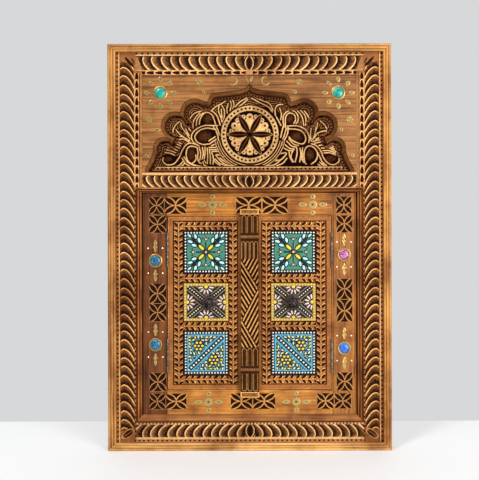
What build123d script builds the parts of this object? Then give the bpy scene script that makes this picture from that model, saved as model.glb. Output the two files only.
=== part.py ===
from build123d import *
import os
from math import hypot

os.makedirs("parts", exist_ok=True)

# A carved wall mirror in the form of a jharokha, a window frame with an arch over two small doors.
# X runs to the right as seen from the front, +Y runs to the wall behind, +Z runs up.
# The origin is the middle of the flat bottom edge. All lengths are in millimetres.
# A level is a distance in front of the back of the frame.

# Whole frame
frame_width = 637
frame_height = 914
edge_width = 18
edge_proud = 6
band_width = 44
side_border = 15
top_band_width = 41
top_border = 12
arch_panel_height = 217
middle_rail_width = 36
reveal_drop = 16
cut_overrun = 2

# Joints of the carved frame
tenon_length = 20
tenon_thickness = 12
tenon_level = 12
tenon_shoulder = 8
glue_gap = 0.15

# Arched panel over the doors
spandrel_drop = 2
spandrel_thickness = 14
arch_side_margin = 5.5
arch_head_margin = 17
arch_bevel = 9
panel_clearance = 0.3
ring_height = 86.5
ring_radius = 59
ring_width = 8
ring_groove_width = 2
carving_depth = 1.5
petal_length = 50
petal_width = 15

# Mirror and backing board
backing_recess = 2
backing_thickness = 4
rebate_width = 10
mirror_thickness = 4
mirror_lap = 20
glass_clearance = 0.5
stop_thickness = 3.5
stop_width = 6
stop_clearance = 0.5

# Mouldings round the lower opening
sill_width = 16
head_reveal_width = 10.5
reveal_rise = 15
reveal_bead = 4.5
reveal_lip = 1.5

# Door frame
foot_board_show = 55
head_board_height = 62
jamb_width = 69
stub_tenon_length = 12
stub_tenon_thickness = 8

# Doors
door_thickness = 14
hinge_gap = 2
meeting_gap = 1
head_gap = 1.5
hinge_stile_width = 35
meeting_stile_width = 47.5
door_top_rail_width = 32
cross_rail_width = 22.2
door_bottom_rail_width = 32.2
# Heights of the tile windows, from the top down, as shares of the height that the rails leave
tile_window_shares = {"green": 0.3416, "yellow": 0.3063, "blue": 0.3521}
tile_clearance = 0.4
tile_thickness = 7
back_panel_thickness = 5
back_panel_margin = 12
door_tenon_length = 8
door_tenon_thickness = 4
door_tenon_shoulder = 5
door_tenon_level = 2

# Carved pillar between the doors
pillar_width = 42
pillar_lap = 17
pillar_thickness = 14
pillar_relief = 0.4
cap_height = 13
panel_height = 41
collar_height = 18
pillar_step = 2

# Cast knobs
knob_radius = 19
knob_plate = 2.5
knob_neck_radius = 6
knob_height = 27
knob_head_radius = 12
knob_shank_radius = 3
knob_shank_end = 1
knob_petals = 8
# How far each knob sits off the middle of its tile, as a share of the tile window's width
left_knob_share = 0.078
right_knob_share = 0.015

# Butt hinges
hinge_length = 75
hinge_inset = 75
hinge_plate_thickness = 1
hinge_plate_width = 11
barrel_radius = 2.2
barrel_clearance = 0.3
pin_radius = 1.2
pin_clearance = 0.05
pin_head_height = 1.5
knuckle_gap = 0.3
hinge_screw_spacing = 25
hinge_screw_setback = 5
hinge_screw_radius = 1.1
hinge_screw_length = 9.5
hinge_screw_head_radius = 2.2
hinge_screw_head_height = 0.5
screw_clearance = 0.05

# Backing screws and wall hangers
backing_screw_radius = 1.7
backing_screw_length = 16
backing_screw_head_radius = 3.4
backing_screw_head_height = 1.6
backing_screw_spacing = 116
hanger_drop = 100
hanger_width = 18
hanger_height = 56
hanger_thickness = 2
hanger_hole_radius = 4
hanger_pocket_radius = 7
hanger_pocket_depth = 12
hanger_screw_spacing = 40
hanger_screw_radius = 1.9
hanger_screw_length = 20
hanger_screw_head_radius = 3.6
hanger_screw_head_height = 1.4

# Glass cabochons and brass
stone_radius = 12.5
stone_height = 5
stone_base = 1.2
bezel_width = 3.8
bezel_height = 1.8
bezel_gap = 0.1
inlay_thickness = 0.6
corner_stone_inset = 41
corner_stone_drop = 38
petal_ring_radius = 30
brass_petal_length = 12
brass_petal_width = 7
# Heights of the stones as shares of the door opening's height
left_stone_shares = (0.261, 0.744)
right_stone_shares = (0.238, 0.777)
fleur_reach = 34
fleur_length = 30
fleur_width = 11
nail_reach_x = 16.4
nail_reach_z = 28.4
nail_head_radius = 1.8
nail_head_height = 1
nail_radius = 0.8
nail_length = 8
rosette_radius = 10
bead_radius = 6
bead_reach = 18.5
inlay_leaf_reach = 23
inlay_leaf_length = 21
inlay_leaf_width = 11
sun_radius = 6
crescent_radius = 9
crescent_shift = 5
eyelet_radius = 4

# Sizes that follow from those above
rebate_level = backing_recess + backing_thickness
glass_level = rebate_level + mirror_thickness
stop_level = glass_level + stop_thickness
door_back = stop_level + stop_clearance
surround_level = door_back + door_thickness
carved_level = surround_level + reveal_drop
frame_depth = carved_level + edge_proud
spandrel_level = carved_level - spandrel_drop
tympanum_level = spandrel_level - spandrel_thickness
half_width = frame_width / 2
stile_inner = half_width - edge_width - band_width
border_inner = stile_inner - side_border
opening_bottom = edge_width + band_width
top_rail_bottom = frame_height - edge_width - top_band_width
panel_top = top_rail_bottom - top_border
middle_rail_top = panel_top - arch_panel_height
opening_top = middle_rail_top - middle_rail_width
arch_half_span = border_inner - arch_side_margin
arch_rise = arch_panel_height - arch_head_margin
half_door_opening = stile_inner - jamb_width
door_opening_bottom = opening_bottom + sill_width + foot_board_show
door_opening_top = opening_top - head_board_height
leaf_outer = half_door_opening - hinge_gap
leaf_width = leaf_outer - meeting_gap
leaf_bottom = door_opening_bottom + head_gap
leaf_top = door_opening_top - head_gap
mirror_half = half_door_opening - stop_width + mirror_lap
mirror_bottom = door_opening_bottom + stop_width - mirror_lap
mirror_top = door_opening_top - stop_width + mirror_lap
tile_level = door_back + back_panel_thickness
meeting_stile_edge = leaf_width - meeting_stile_width
tile_window_width = meeting_stile_edge - hinge_stile_width
hinge_axis_x = half_door_opening - hinge_gap / 2
hinge_axis_level = surround_level + barrel_radius + barrel_clearance
hinge_heights = (leaf_bottom + hinge_inset, leaf_top - hinge_inset)
knuckle_length = hinge_length / 3
rebate_middle = stile_inner + rebate_width / 2


def y_of(level):
    """The Y place of a level, counted forwards from the back of the frame."""
    return frame_depth / 2 - level


def level_plane(level):
    """The upright plane at a level, facing the front."""
    return Plane.XZ.offset(level - frame_depth / 2)


def slab(x_a, x_b, z_a, z_b, back, front, mode=Mode.ADD):
    """Adds or cuts a rectangular block between two X places, two heights and two levels."""
    with Locations(((x_a + x_b) / 2, y_of((back + front) / 2), (z_a + z_b) / 2)):
        Box(abs(x_b - x_a), abs(front - back), abs(z_b - z_a), mode=mode)


def post(x, z, radius, back, front, mode=Mode.ADD):
    """Adds or cuts a round post that runs from one level to another."""
    with Locations((x, y_of((back + front) / 2), z)):
        Cylinder(radius, abs(front - back), rotation=(90, 0, 0), mode=mode)


def side_post(x_a, x_b, z, level, radius, mode=Mode.ADD):
    """Adds or cuts a round post that runs sideways from one X place to another."""
    with Locations(((x_a + x_b) / 2, y_of(level), z)):
        Cylinder(radius, abs(x_b - x_a), rotation=(0, 90, 0), mode=mode)


def keep(piece, name):
    """Labels a finished piece and writes it to its own file."""
    piece.part.label = name
    export_step(piece.part, f"parts/{name}.step")


def joint_block(side, z_low, z_high, gap=0, mode=Mode.ADD):
    """A tenon of the carved frame, or with a gap the mortise that takes it."""
    end = stile_inner + tenon_length + gap * 4
    slab(side * stile_inner, side * end, z_low - gap, z_high + gap,
         tenon_level - gap, tenon_level + tenon_thickness + gap, mode)


rail_tenons = (
    (edge_width + tenon_shoulder, opening_bottom - tenon_shoulder),
    (opening_top + tenon_shoulder, middle_rail_top - tenon_shoulder),
    (top_rail_bottom + tenon_shoulder, frame_height - edge_width - tenon_shoulder),
)
backing_bottom = opening_bottom - rebate_width
backing_top = top_rail_bottom + rebate_width


def backing_screw_places():
    """Middles of the screws that hold the backing board in its rebate."""
    along = int((top_rail_bottom - opening_bottom) / backing_screw_spacing)
    pitch = (top_rail_bottom - opening_bottom) / along
    sides = [(side * rebate_middle, opening_bottom + pitch * (row + 1 / 2))
             for side in (-1, 1) for row in range(along)]
    across = int(stile_inner / backing_screw_spacing)
    ends = [(column * backing_screw_spacing, z)
            for column in range(-across, across + 1)
            for z in (opening_bottom - rebate_width / 2, top_rail_bottom + rebate_width / 2)]
    return sides + ends


def clear_of_joints(x, z):
    """True where a screw of the backing board misses the tenons of the rails."""
    reach = backing_screw_radius * 2
    return abs(x) < stile_inner or all(z < low - reach or z > high + reach for low, high in rail_tenons)


screw_places = [place for place in backing_screw_places() if clear_of_joints(*place)]
hanger_x = half_width - edge_width - band_width / 2
hanger_z = frame_height - hanger_drop


def cut_backing_screws():
    """Cuts the pilot holes of every backing screw that crosses this piece."""
    for x, z in screw_places:
        post(x, z, backing_screw_radius + screw_clearance, -cut_overrun,
             backing_recess + backing_screw_length + screw_clearance, Mode.SUBTRACT)


# Carved stiles. Each runs the full height and carries a narrow border lip beside the arched panel.
for side, word in ((-1, "left"), (1, "right")):
    with BuildPart() as stile:
        slab(side * stile_inner, side * (half_width - edge_width),
             edge_width, frame_height - edge_width, 0, carved_level)
        slab(side * border_inner, side * stile_inner, opening_top, top_rail_bottom,
             tympanum_level, carved_level)
        slab(side * (stile_inner - cut_overrun), side * (stile_inner + rebate_width),
             backing_bottom, backing_top, -cut_overrun, rebate_level, Mode.SUBTRACT)
        for z_low, z_high in rail_tenons:
            joint_block(side, z_low, z_high, glue_gap, Mode.SUBTRACT)
        cut_backing_screws()
        slab(side * (hanger_x - hanger_width / 2), side * (hanger_x + hanger_width / 2),
             hanger_z - hanger_height / 2, hanger_z + hanger_height / 2,
             -cut_overrun, hanger_thickness, Mode.SUBTRACT)
        post(side * hanger_x, hanger_z, hanger_pocket_radius, -cut_overrun, hanger_pocket_depth, Mode.SUBTRACT)
        for step in (-1, 1):
            post(side * hanger_x, hanger_z + step * hanger_screw_spacing / 2,
                 hanger_screw_radius + screw_clearance, 0,
                 hanger_screw_length + screw_clearance, Mode.SUBTRACT)
    keep(stile, f"{word}_stile")

# Carved rails, tenoned into the stiles
with BuildPart() as top_rail:
    slab(-stile_inner, stile_inner, top_rail_bottom, frame_height - edge_width, 0, carved_level)
    slab(-border_inner, border_inner, panel_top, top_rail_bottom, tympanum_level, carved_level)
    for side in (-1, 1):
        joint_block(side, *rail_tenons[2])
    slab(-stile_inner, stile_inner, top_rail_bottom - cut_overrun, backing_top,
         -cut_overrun, rebate_level, Mode.SUBTRACT)
    cut_backing_screws()
keep(top_rail, "top_rail")

with BuildPart() as middle_rail:
    slab(-stile_inner, stile_inner, opening_top, middle_rail_top, rebate_level, tympanum_level)
    slab(-border_inner, border_inner, opening_top, middle_rail_top, tympanum_level, carved_level)
    for side in (-1, 1):
        joint_block(side, *rail_tenons[1])
keep(middle_rail, "middle_rail")

with BuildPart() as bottom_rail:
    slab(-stile_inner, stile_inner, edge_width, opening_bottom, 0, carved_level)
    for side in (-1, 1):
        joint_block(side, *rail_tenons[0])
    slab(-stile_inner, stile_inner, backing_bottom, opening_bottom + cut_overrun,
         -cut_overrun, rebate_level, Mode.SUBTRACT)
    cut_backing_screws()
keep(bottom_rail, "bottom_rail")

# Mitred mouldings. Each is a plan with slanted ends, cut to the section of the moulding.
reed_shares = (0, 1 / 3, 2 / 3)
reed_height = 2


def edge_section(place):
    """Outline of the edge moulding: a flat strip with three reeds along its front."""
    face = frame_depth - reed_height
    reed = edge_width / 3
    Polyline(place(0, face), place(0, 0), place(edge_width, 0), place(edge_width, face))
    for share in reed_shares:
        start = share * edge_width
        ThreePointArc(place(start, face), place(start + reed / 2, frame_depth), place(start + reed, face))


def reveal_section(width):
    """Outline of an opening moulding: a round bead at the outside and a slope down to the boards."""
    def outline(place):
        bead_face = surround_level + reveal_rise - reveal_bead / 2
        ThreePointArc(place(0, bead_face), place(reveal_bead / 2, surround_level + reveal_rise),
                      place(reveal_bead, bead_face))
        Polyline(place(reveal_bead, bead_face), place(width, surround_level + reveal_lip),
                 place(width, surround_level), place(0, surround_level), place(0, bead_face))
    return outline


def mitred_strip(name, corners, outer, upright, towards, section, low, high):
    """Builds one moulding of a mitred frame from its plan corners and the outline of its section."""
    with BuildPart() as strip:
        with BuildSketch(level_plane(low)):
            with BuildLine():
                Polyline(*corners, close=True)
            make_face()
        extrude(amount=high - low)
        if upright:
            with BuildSketch(Plane.XY):
                with BuildLine():
                    section(lambda across, level: (outer + towards * across, y_of(level)))
                make_face()
            extrude(amount=frame_height, mode=Mode.INTERSECT)
        else:
            with BuildSketch(Plane.YZ.offset(-half_width)):
                with BuildLine():
                    section(lambda across, level: (y_of(level), outer + towards * across))
                make_face()
            extrude(amount=frame_width, mode=Mode.INTERSECT)
    keep(strip, name)


def mitred_frame(names, outside, inside, sections, low, high):
    """Builds left, right, top and bottom mouldings between an outer and an inner rectangle."""
    out_x, out_low, out_high = outside
    in_x, in_low, in_high = inside
    for side, name in ((-1, names[0]), (1, names[1])):
        corners = ((side * out_x, out_low), (side * in_x, in_low),
                   (side * in_x, in_high), (side * out_x, out_high))
        mitred_strip(name, corners, side * out_x, True, -side, sections[0], low, high)
    for z_out, z_in, towards, name, section in (
            (out_high, in_high, -1, names[2], sections[1]),
            (out_low, in_low, 1, names[3], sections[2])):
        corners = ((-out_x, z_out), (-in_x, z_in), (in_x, z_in), (out_x, z_out))
        mitred_strip(name, corners, z_out, False, towards, section, low, high)


mitred_frame(("left_edge_moulding", "right_edge_moulding", "top_edge_moulding", "bottom_edge_moulding"),
             (half_width, 0, frame_height),
             (half_width - edge_width, edge_width, frame_height - edge_width),
             (edge_section, edge_section, edge_section), 0, frame_depth)
mitred_frame(("left_reveal", "right_reveal", "head_reveal", "sill"),
             (stile_inner, opening_bottom, opening_top),
             (border_inner, opening_bottom + sill_width, opening_top - head_reveal_width),
             (reveal_section(side_border), reveal_section(head_reveal_width), reveal_section(sill_width)),
             surround_level, surround_level + reveal_rise)

# Arch opening. Its outline is a run of round lobes joined by a straight-sided core.
# Each lobe has its X and its radius as shares of the half span, and its height as a share of the rise.
lobe_shares = (
    (0.303, 0.790, 0.0953),
    (0.524, 0.670, 0.1394),
    (0.708, 0.527, 0.1381),
    (0.812, 0.270, 0.1114),
)
# Right half of the core, from the point of the arch down to below its foot
core_shares = (
    (0.0, 1.0), (0.042, 0.950), (0.106, 0.9275), (0.303, 0.9025), (0.4025, 0.795), (0.459, 0.815),
    (0.524, 0.670), (0.708, 0.527), (0.763, 0.370), (0.812, 0.270), (0.9195, 0.250),
    (0.949, 0.145), (1.0, 0.040), (1.0, -0.1),
)


def inset_outline(points, distance):
    """Moves each side of a closed clockwise outline inwards by a distance."""
    moved = []
    count = len(points)
    for index, (x, z) in enumerate(points):
        before = points[index - 1]
        after = points[(index + 1) % count]
        run_in = hypot(x - before[0], z - before[1])
        run_out = hypot(after[0] - x, after[1] - z)
        in_x, in_z = (z - before[1]) / run_in, -(x - before[0]) / run_in
        out_x, out_z = (after[1] - z) / run_out, -(after[0] - x) / run_out
        scale = distance / (1 + in_x * out_x + in_z * out_z)
        moved.append((x + (in_x + out_x) * scale, z + (in_z + out_z) * scale))
    return moved


right_core = [(x * arch_half_span, middle_rail_top + z * arch_rise) for x, z in core_shares]
core_outline = right_core + [(-x, z) for x, z in reversed(right_core[1:])]
bevel_slope = arch_bevel / spandrel_thickness
bevel_overrun = cut_overrun * bevel_slope

with BuildPart() as arch_spandrel:
    slab(panel_clearance - border_inner, border_inner - panel_clearance,
         middle_rail_top, panel_top - panel_clearance, tympanum_level, spandrel_level)
    with BuildSketch(level_plane(tympanum_level - cut_overrun)) as core_back:
        with BuildLine():
            Polyline(*inset_outline(core_outline, arch_bevel + bevel_overrun), close=True)
        make_face()
    with BuildSketch(level_plane(spandrel_level + cut_overrun)) as core_front:
        with BuildLine():
            Polyline(*inset_outline(core_outline, -bevel_overrun), close=True)
        make_face()
    loft(ruled=True, mode=Mode.SUBTRACT)
    for side in (-1, 1):
        for x_share, z_share, r_share in lobe_shares:
            with Locations((side * x_share * arch_half_span,
                            y_of((spandrel_level + tympanum_level) / 2),
                            middle_rail_top + z_share * arch_rise)):
                Cone(r_share * arch_half_span - arch_bevel - bevel_overrun,
                     r_share * arch_half_span + bevel_overrun,
                     spandrel_thickness + cut_overrun * 2, rotation=(90, 0, 0), mode=Mode.SUBTRACT)
keep(arch_spandrel, "arch_spandrel")

# Carved tympanum, a thick board behind the arch with a ring and a six-petalled flower
with BuildPart() as petal:
    with BuildSketch(level_plane(tympanum_level)):
        with BuildLine():
            ThreePointArc((0, 0), (petal_length / 2, petal_width / 2), (petal_length, 0))
            ThreePointArc((petal_length, 0), (petal_length / 2, -petal_width / 2), (0, 0))
        make_face()
    extrude(amount=-carving_depth)

with BuildPart() as carved_tympanum:
    slab(panel_clearance - stile_inner, stile_inner - panel_clearance,
         middle_rail_top, top_rail_bottom - panel_clearance, rebate_level, tympanum_level)
    with BuildSketch(level_plane(tympanum_level)):
        with Locations((0, middle_rail_top + ring_height)):
            for radius in (ring_radius - ring_width / 2, ring_radius + ring_width / 2):
                Circle(radius + ring_groove_width / 2)
                Circle(radius - ring_groove_width / 2, mode=Mode.SUBTRACT)
    extrude(amount=-carving_depth, mode=Mode.SUBTRACT)
    for turn in range(6):
        with Locations(Location((0, 0, middle_rail_top + ring_height), (0, turn * 60, 0))):
            add(petal.part, mode=Mode.SUBTRACT)
keep(carved_tympanum, "carved_tympanum")

# Door frame: two jambs with a head board and a foot board between them


def mirror_recess():
    """Cuts the rebate for the mirror glass out of a board of the door frame."""
    slab(-mirror_half - glass_clearance, mirror_half + glass_clearance,
         mirror_bottom - glass_clearance, mirror_top + glass_clearance,
         rebate_level - cut_overrun, glass_level, Mode.SUBTRACT)


def stub_tenon(side, z_low, z_high, gap=0, mode=Mode.ADD):
    """A stub tenon between the door frame's boards, or with a gap its mortise."""
    middle = (glass_level + surround_level) / 2
    slab(side * half_door_opening, side * (half_door_opening + stub_tenon_length + gap),
         z_low + tenon_shoulder - gap, z_high - tenon_shoulder + gap,
         middle - stub_tenon_thickness / 2 - gap, middle + stub_tenon_thickness / 2 + gap, mode)


stone_x = (half_door_opening + border_inner) / 2
board_heights = ((opening_bottom, door_opening_bottom), (door_opening_top, opening_top))
stone_rows = {
    "left": [door_opening_bottom + share * (door_opening_top - door_opening_bottom)
             for share in left_stone_shares],
    "right": [door_opening_bottom + share * (door_opening_top - door_opening_bottom)
              for share in right_stone_shares],
}
hinge_screw_level = surround_level - hinge_screw_setback

for side, word in ((-1, "left"), (1, "right")):
    with BuildPart() as jamb:
        slab(side * half_door_opening, side * stile_inner, opening_bottom, opening_top,
             rebate_level, surround_level)
        slab(side * (half_door_opening - stop_width), side * half_door_opening,
             door_opening_bottom + stop_width, door_opening_top - stop_width, glass_level, stop_level)
        mirror_recess()
        for z_low, z_high in board_heights:
            stub_tenon(side, z_low, z_high, glue_gap, Mode.SUBTRACT)
        for middle in hinge_heights:
            slab(side * (half_door_opening - cut_overrun), side * (half_door_opening + hinge_plate_thickness),
                 middle - hinge_length / 2 - glue_gap, middle + hinge_length / 2 + glue_gap,
                 surround_level - hinge_plate_width - glue_gap, surround_level + cut_overrun, Mode.SUBTRACT)
            for step in (-1, 0, 1):
                side_post(side * half_door_opening,
                          side * (half_door_opening + hinge_screw_length + screw_clearance),
                          middle + step * hinge_screw_spacing, hinge_screw_level,
                          hinge_screw_radius + screw_clearance, Mode.SUBTRACT)
        for stone_z in stone_rows[word]:
            for x_step in (-1, 1):
                for z_step in (-1, 1):
                    post(side * stone_x + x_step * nail_reach_x, stone_z + z_step * nail_reach_z,
                         nail_radius + screw_clearance, surround_level - nail_length - screw_clearance,
                         surround_level + cut_overrun, Mode.SUBTRACT)
    keep(jamb, f"{word}_jamb")

for word, z_low, z_high, lip_low in (
        ("foot_board", opening_bottom, door_opening_bottom, door_opening_bottom),
        ("head_board", door_opening_top, opening_top, door_opening_top - stop_width)):
    with BuildPart() as board:
        slab(-half_door_opening, half_door_opening, z_low, z_high, rebate_level, surround_level)
        slab(-half_door_opening, half_door_opening, lip_low, lip_low + stop_width, glass_level, stop_level)
        mirror_recess()
        for side in (-1, 1):
            stub_tenon(side, z_low, z_high)
    keep(board, word)

# Mirror glass in its rebate, and the backing board over the whole back
with BuildPart() as mirror_glass:
    slab(-mirror_half, mirror_half, mirror_bottom, mirror_top, rebate_level, glass_level)
keep(mirror_glass, "mirror_glass")

backing_half = stile_inner + rebate_width - panel_clearance
with BuildPart() as backing_board:
    slab(-backing_half, backing_half, backing_bottom + panel_clearance, backing_top - panel_clearance,
         backing_recess, rebate_level)
    cut_backing_screws()
    for x, z in screw_places:
        post(x, z, backing_screw_head_radius + screw_clearance, backing_recess - cut_overrun,
             backing_recess + backing_screw_head_height, Mode.SUBTRACT)
keep(backing_board, "backing_board")

with BuildPart() as backing_screws:
    for x, z in screw_places:
        post(x, z, backing_screw_head_radius, backing_recess, backing_recess + backing_screw_head_height)
        post(x, z, backing_screw_radius, backing_recess, backing_recess + backing_screw_length)
keep(backing_screws, "backing_screws")

# Hanger plates let into the back of the stiles, with a pocket behind each eye
with BuildPart() as hanger_plates:
    for side in (-1, 1):
        slab(side * (hanger_x - hanger_width / 2 + panel_clearance),
             side * (hanger_x + hanger_width / 2 - panel_clearance),
             hanger_z - hanger_height / 2 + panel_clearance, hanger_z + hanger_height / 2 - panel_clearance,
             0, hanger_thickness)
        post(side * hanger_x, hanger_z, hanger_hole_radius, -cut_overrun,
             hanger_thickness + cut_overrun, Mode.SUBTRACT)
        for step in (-1, 1):
            screw_z = hanger_z + step * hanger_screw_spacing / 2
            post(side * hanger_x, screw_z, hanger_screw_radius + screw_clearance, -cut_overrun,
                 hanger_thickness + cut_overrun, Mode.SUBTRACT)
            post(side * hanger_x, screw_z, hanger_screw_head_radius + screw_clearance, -cut_overrun,
                 hanger_screw_head_height, Mode.SUBTRACT)
keep(hanger_plates, "hanger_plates")

with BuildPart() as hanger_screws:
    for side in (-1, 1):
        for step in (-1, 1):
            screw_z = hanger_z + step * hanger_screw_spacing / 2
            post(side * hanger_x, screw_z, hanger_screw_head_radius, 0, hanger_screw_head_height)
            post(side * hanger_x, screw_z, hanger_screw_radius, 0, hanger_screw_length)
keep(hanger_screws, "hanger_screws")

# Glass cabochons in brass bezels: two in the corners of the spandrel and two on each jamb
corner_stones = [(side * (border_inner - corner_stone_inset), panel_top - corner_stone_drop) for side in (-1, 1)]
left_stones = [(-stone_x, z) for z in stone_rows["left"]]
right_stones = [(stone_x, z) for z in stone_rows["right"]]


def cabochons(name, places, level):
    """Round glass stones with a flat back, a short straight side and a domed front."""
    with BuildPart() as stones:
        for x, z in places:
            rise = stone_height - stone_base
            dome_radius = (stone_radius ** 2 + rise ** 2) / (2 * rise)
            post(x, z, stone_radius, level, level + stone_base)
            with BuildPart(mode=Mode.PRIVATE) as dome:
                with Locations((x, y_of(level + stone_height - dome_radius), z)):
                    Sphere(dome_radius)
                post(x, z, stone_radius, level + stone_base, level + stone_height, Mode.INTERSECT)
            add(dome.part)
    keep(stones, name)


cabochons("turquoise_cabochons", corner_stones, spandrel_level)
cabochons("blue_cabochons", [left_stones[1], left_stones[0]], surround_level)
cabochons("pink_cabochon", [right_stones[1]], surround_level)
cabochons("deep_blue_cabochon", [right_stones[0]], surround_level)

with BuildPart() as cabochon_bezels:
    for places, level in ((corner_stones, spandrel_level), (left_stones + right_stones, surround_level)):
        for x, z in places:
            post(x, z, stone_radius + bezel_gap + bezel_width, level, level + bezel_height)
            post(x, z, stone_radius + bezel_gap, level - cut_overrun, level + stone_height, Mode.SUBTRACT)
keep(cabochon_bezels, "cabochon_bezels")

# Brass inlays of the spandrel, with places as shares of the half span and of the arch rise.
# On each side a sun, an eyelet by the first cusp, a star, and eyelets by the lower lobes.
sun_share = (0.475, 1.015)
crescent_share = (0.155, 1.025)
upper_eyelet_share = (0.435, 0.905)
star_share = (0.955, 0.595)
middle_eyelet_share = (0.878, 0.480)
lower_eyelet_share = (0.985, 0.185)
apex_leaf_rise = 9
apex_leaf_reach = 5


def on_arch(share, side):
    """A place on the spandrel from its shares, on one side of the arch."""
    return (side * share[0] * arch_half_span, middle_rail_top + share[1] * arch_rise)


with BuildPart() as spandrel_inlays:
    with BuildSketch(level_plane(spandrel_level)):
        with Locations(*corner_stones):
            with PolarLocations(petal_ring_radius, 8):
                Ellipse(brass_petal_length / 2, brass_petal_width / 2)
        with Locations(*[on_arch(share, side) for share in (sun_share, star_share) for side in (-1, 1)]):
            Circle(sun_radius)
        for share in (upper_eyelet_share, middle_eyelet_share, lower_eyelet_share):
            with Locations(*[on_arch(share, side) for side in (-1, 1)]):
                Circle(eyelet_radius)
        for side in (-1, 1):
            x, z = on_arch(crescent_share, side)
            with Locations((x, z)):
                Circle(crescent_radius)
            with Locations((x + side * crescent_shift, z + crescent_shift / 2)):
                Circle(crescent_radius - crescent_shift / 4, mode=Mode.SUBTRACT)
            with Locations(Location((side * apex_leaf_reach, middle_rail_top + arch_rise + apex_leaf_rise, 0),
                                    (0, 0, side * 60))):
                Ellipse(brass_petal_length / 2, brass_petal_width / 4)
    extrude(amount=inlay_thickness)
keep(spandrel_inlays, "spandrel_inlays")

# Brass inlays of the door frame: four quatrefoil sets, and a fleur above and below each stone
head_board_middle = (door_opening_top + opening_top - head_reveal_width) / 2
foot_board_middle = (opening_bottom + sill_width + door_opening_bottom) / 2
# X places of the quatrefoils as shares of half the door opening
head_quatrefoil_shares = (-0.451, 0.765)
foot_quatrefoil_shares = (-0.504, 0.56)
quatrefoils = (
    [(share * half_door_opening, head_board_middle) for share in head_quatrefoil_shares]
    + [(share * half_door_opening, foot_board_middle) for share in foot_quatrefoil_shares]
)
with BuildPart() as door_frame_inlays:
    with BuildSketch(level_plane(surround_level)):
        for x, z in quatrefoils:
            with Locations((x, z)):
                Circle(rosette_radius)
            with Locations((x, z + bead_reach), (x, z - bead_reach)):
                Circle(bead_radius)
            with Locations((x + inlay_leaf_reach, z), (x - inlay_leaf_reach, z)):
                Ellipse(inlay_leaf_length / 2, inlay_leaf_width / 2)
        for x, z in left_stones + right_stones:
            with Locations((x, z + fleur_reach), (x, z - fleur_reach)):
                Ellipse(fleur_width / 2, fleur_length / 2)
    extrude(amount=inlay_thickness)
keep(door_frame_inlays, "door_frame_inlays")

with BuildPart() as brass_nails:
    for x, z in left_stones + right_stones:
        for x_step in (-1, 1):
            for z_step in (-1, 1):
                nail_x = x + x_step * nail_reach_x
                nail_z = z + z_step * nail_reach_z
                post(nail_x, nail_z, nail_radius, surround_level - nail_length, surround_level)
                post(nail_x, nail_z, nail_head_radius, surround_level, surround_level + nail_head_height)
keep(brass_nails, "brass_nails")

# Butt hinges. The outer knuckles belong to the frame's plates and the middle one to the door's.
# Knuckle ends are shares of a knuckle's length, counted from the middle of the hinge.
frame_knuckle_shares = ((-1.5, -0.5), (0.5, 1.5))
door_knuckle_shares = ((-0.5, 0.5),)


def hinge_plates(side, knuckles, plate_sign):
    """Hinge plates of one side of the hinge, with their knuckles, at both hinge heights."""
    face = side * (hinge_axis_x + plate_sign * hinge_gap / 2)
    back = face + side * plate_sign * hinge_plate_thickness
    past = side * plate_sign * cut_overrun
    trim = knuckle_gap / 2
    for middle in hinge_heights:
        slab(face, back, middle - hinge_length / 2, middle + hinge_length / 2,
             surround_level - hinge_plate_width, surround_level)
        for low_share, high_share in knuckles:
            low = middle + low_share * knuckle_length + trim
            high = middle + high_share * knuckle_length - trim
            slab(face, back, low, high, surround_level, hinge_axis_level)
            with Locations((side * hinge_axis_x, y_of(hinge_axis_level), (low + high) / 2)):
                Cylinder(barrel_radius, high - low)
                Cylinder(pin_radius + pin_clearance, high - low + cut_overrun, mode=Mode.SUBTRACT)
        for step in (-1, 0, 1):
            side_post(face - past, back + past, middle + step * hinge_screw_spacing, hinge_screw_level,
                      hinge_screw_radius + screw_clearance, Mode.SUBTRACT)


def hinge_screws(side, plate_sign):
    """The screws of one side of the hinges of one door, with their flat heads in the gap."""
    face = side * (hinge_axis_x + plate_sign * hinge_gap / 2)
    inward = side * plate_sign
    for middle in hinge_heights:
        for step in (-1, 0, 1):
            z = middle + step * hinge_screw_spacing
            side_post(face - inward * hinge_screw_head_height, face, z, hinge_screw_level,
                      hinge_screw_head_radius)
            side_post(face, face + inward * hinge_screw_length, z, hinge_screw_level, hinge_screw_radius)


with BuildPart() as hinge_frame_plates:
    for side in (-1, 1):
        hinge_plates(side, frame_knuckle_shares, 1)
keep(hinge_frame_plates, "hinge_frame_plates")

with BuildPart() as hinge_frame_screws:
    for side in (-1, 1):
        hinge_screws(side, 1)
keep(hinge_frame_screws, "hinge_frame_screws")

with BuildPart() as hinge_pins:
    for side in (-1, 1):
        for middle in hinge_heights:
            with Locations((side * hinge_axis_x, y_of(hinge_axis_level), middle)):
                Cylinder(pin_radius, hinge_length + pin_head_height)
            for end in (-1, 1):
                with Locations((side * hinge_axis_x, y_of(hinge_axis_level),
                                middle + end * (hinge_length + pin_head_height) / 2)):
                    Cylinder(barrel_radius, pin_head_height)
keep(hinge_pins, "hinge_pins")

# Doors. Places across a door are counted from its hinge edge inwards.
window_bottoms = {}
window_tops = {}
windows_height = leaf_top - leaf_bottom - door_top_rail_width - door_bottom_rail_width - 2 * cross_rail_width
next_top = leaf_top - door_top_rail_width
for word, share in tile_window_shares.items():
    window_tops[word] = next_top
    window_bottoms[word] = next_top - share * windows_height
    next_top = window_bottoms[word] - cross_rail_width

door_rails = {
    "top_rail": ((window_tops["green"], leaf_top),),
    "cross_rails": ((window_tops["yellow"], window_bottoms["green"]),
                    (window_tops["blue"], window_bottoms["yellow"])),
    "bottom_rail": ((leaf_bottom, window_bottoms["blue"]),),
}
knob_z = (window_tops["yellow"] + window_bottoms["yellow"]) / 2
knob_middle = hinge_stile_width + tile_window_width / 2


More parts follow.
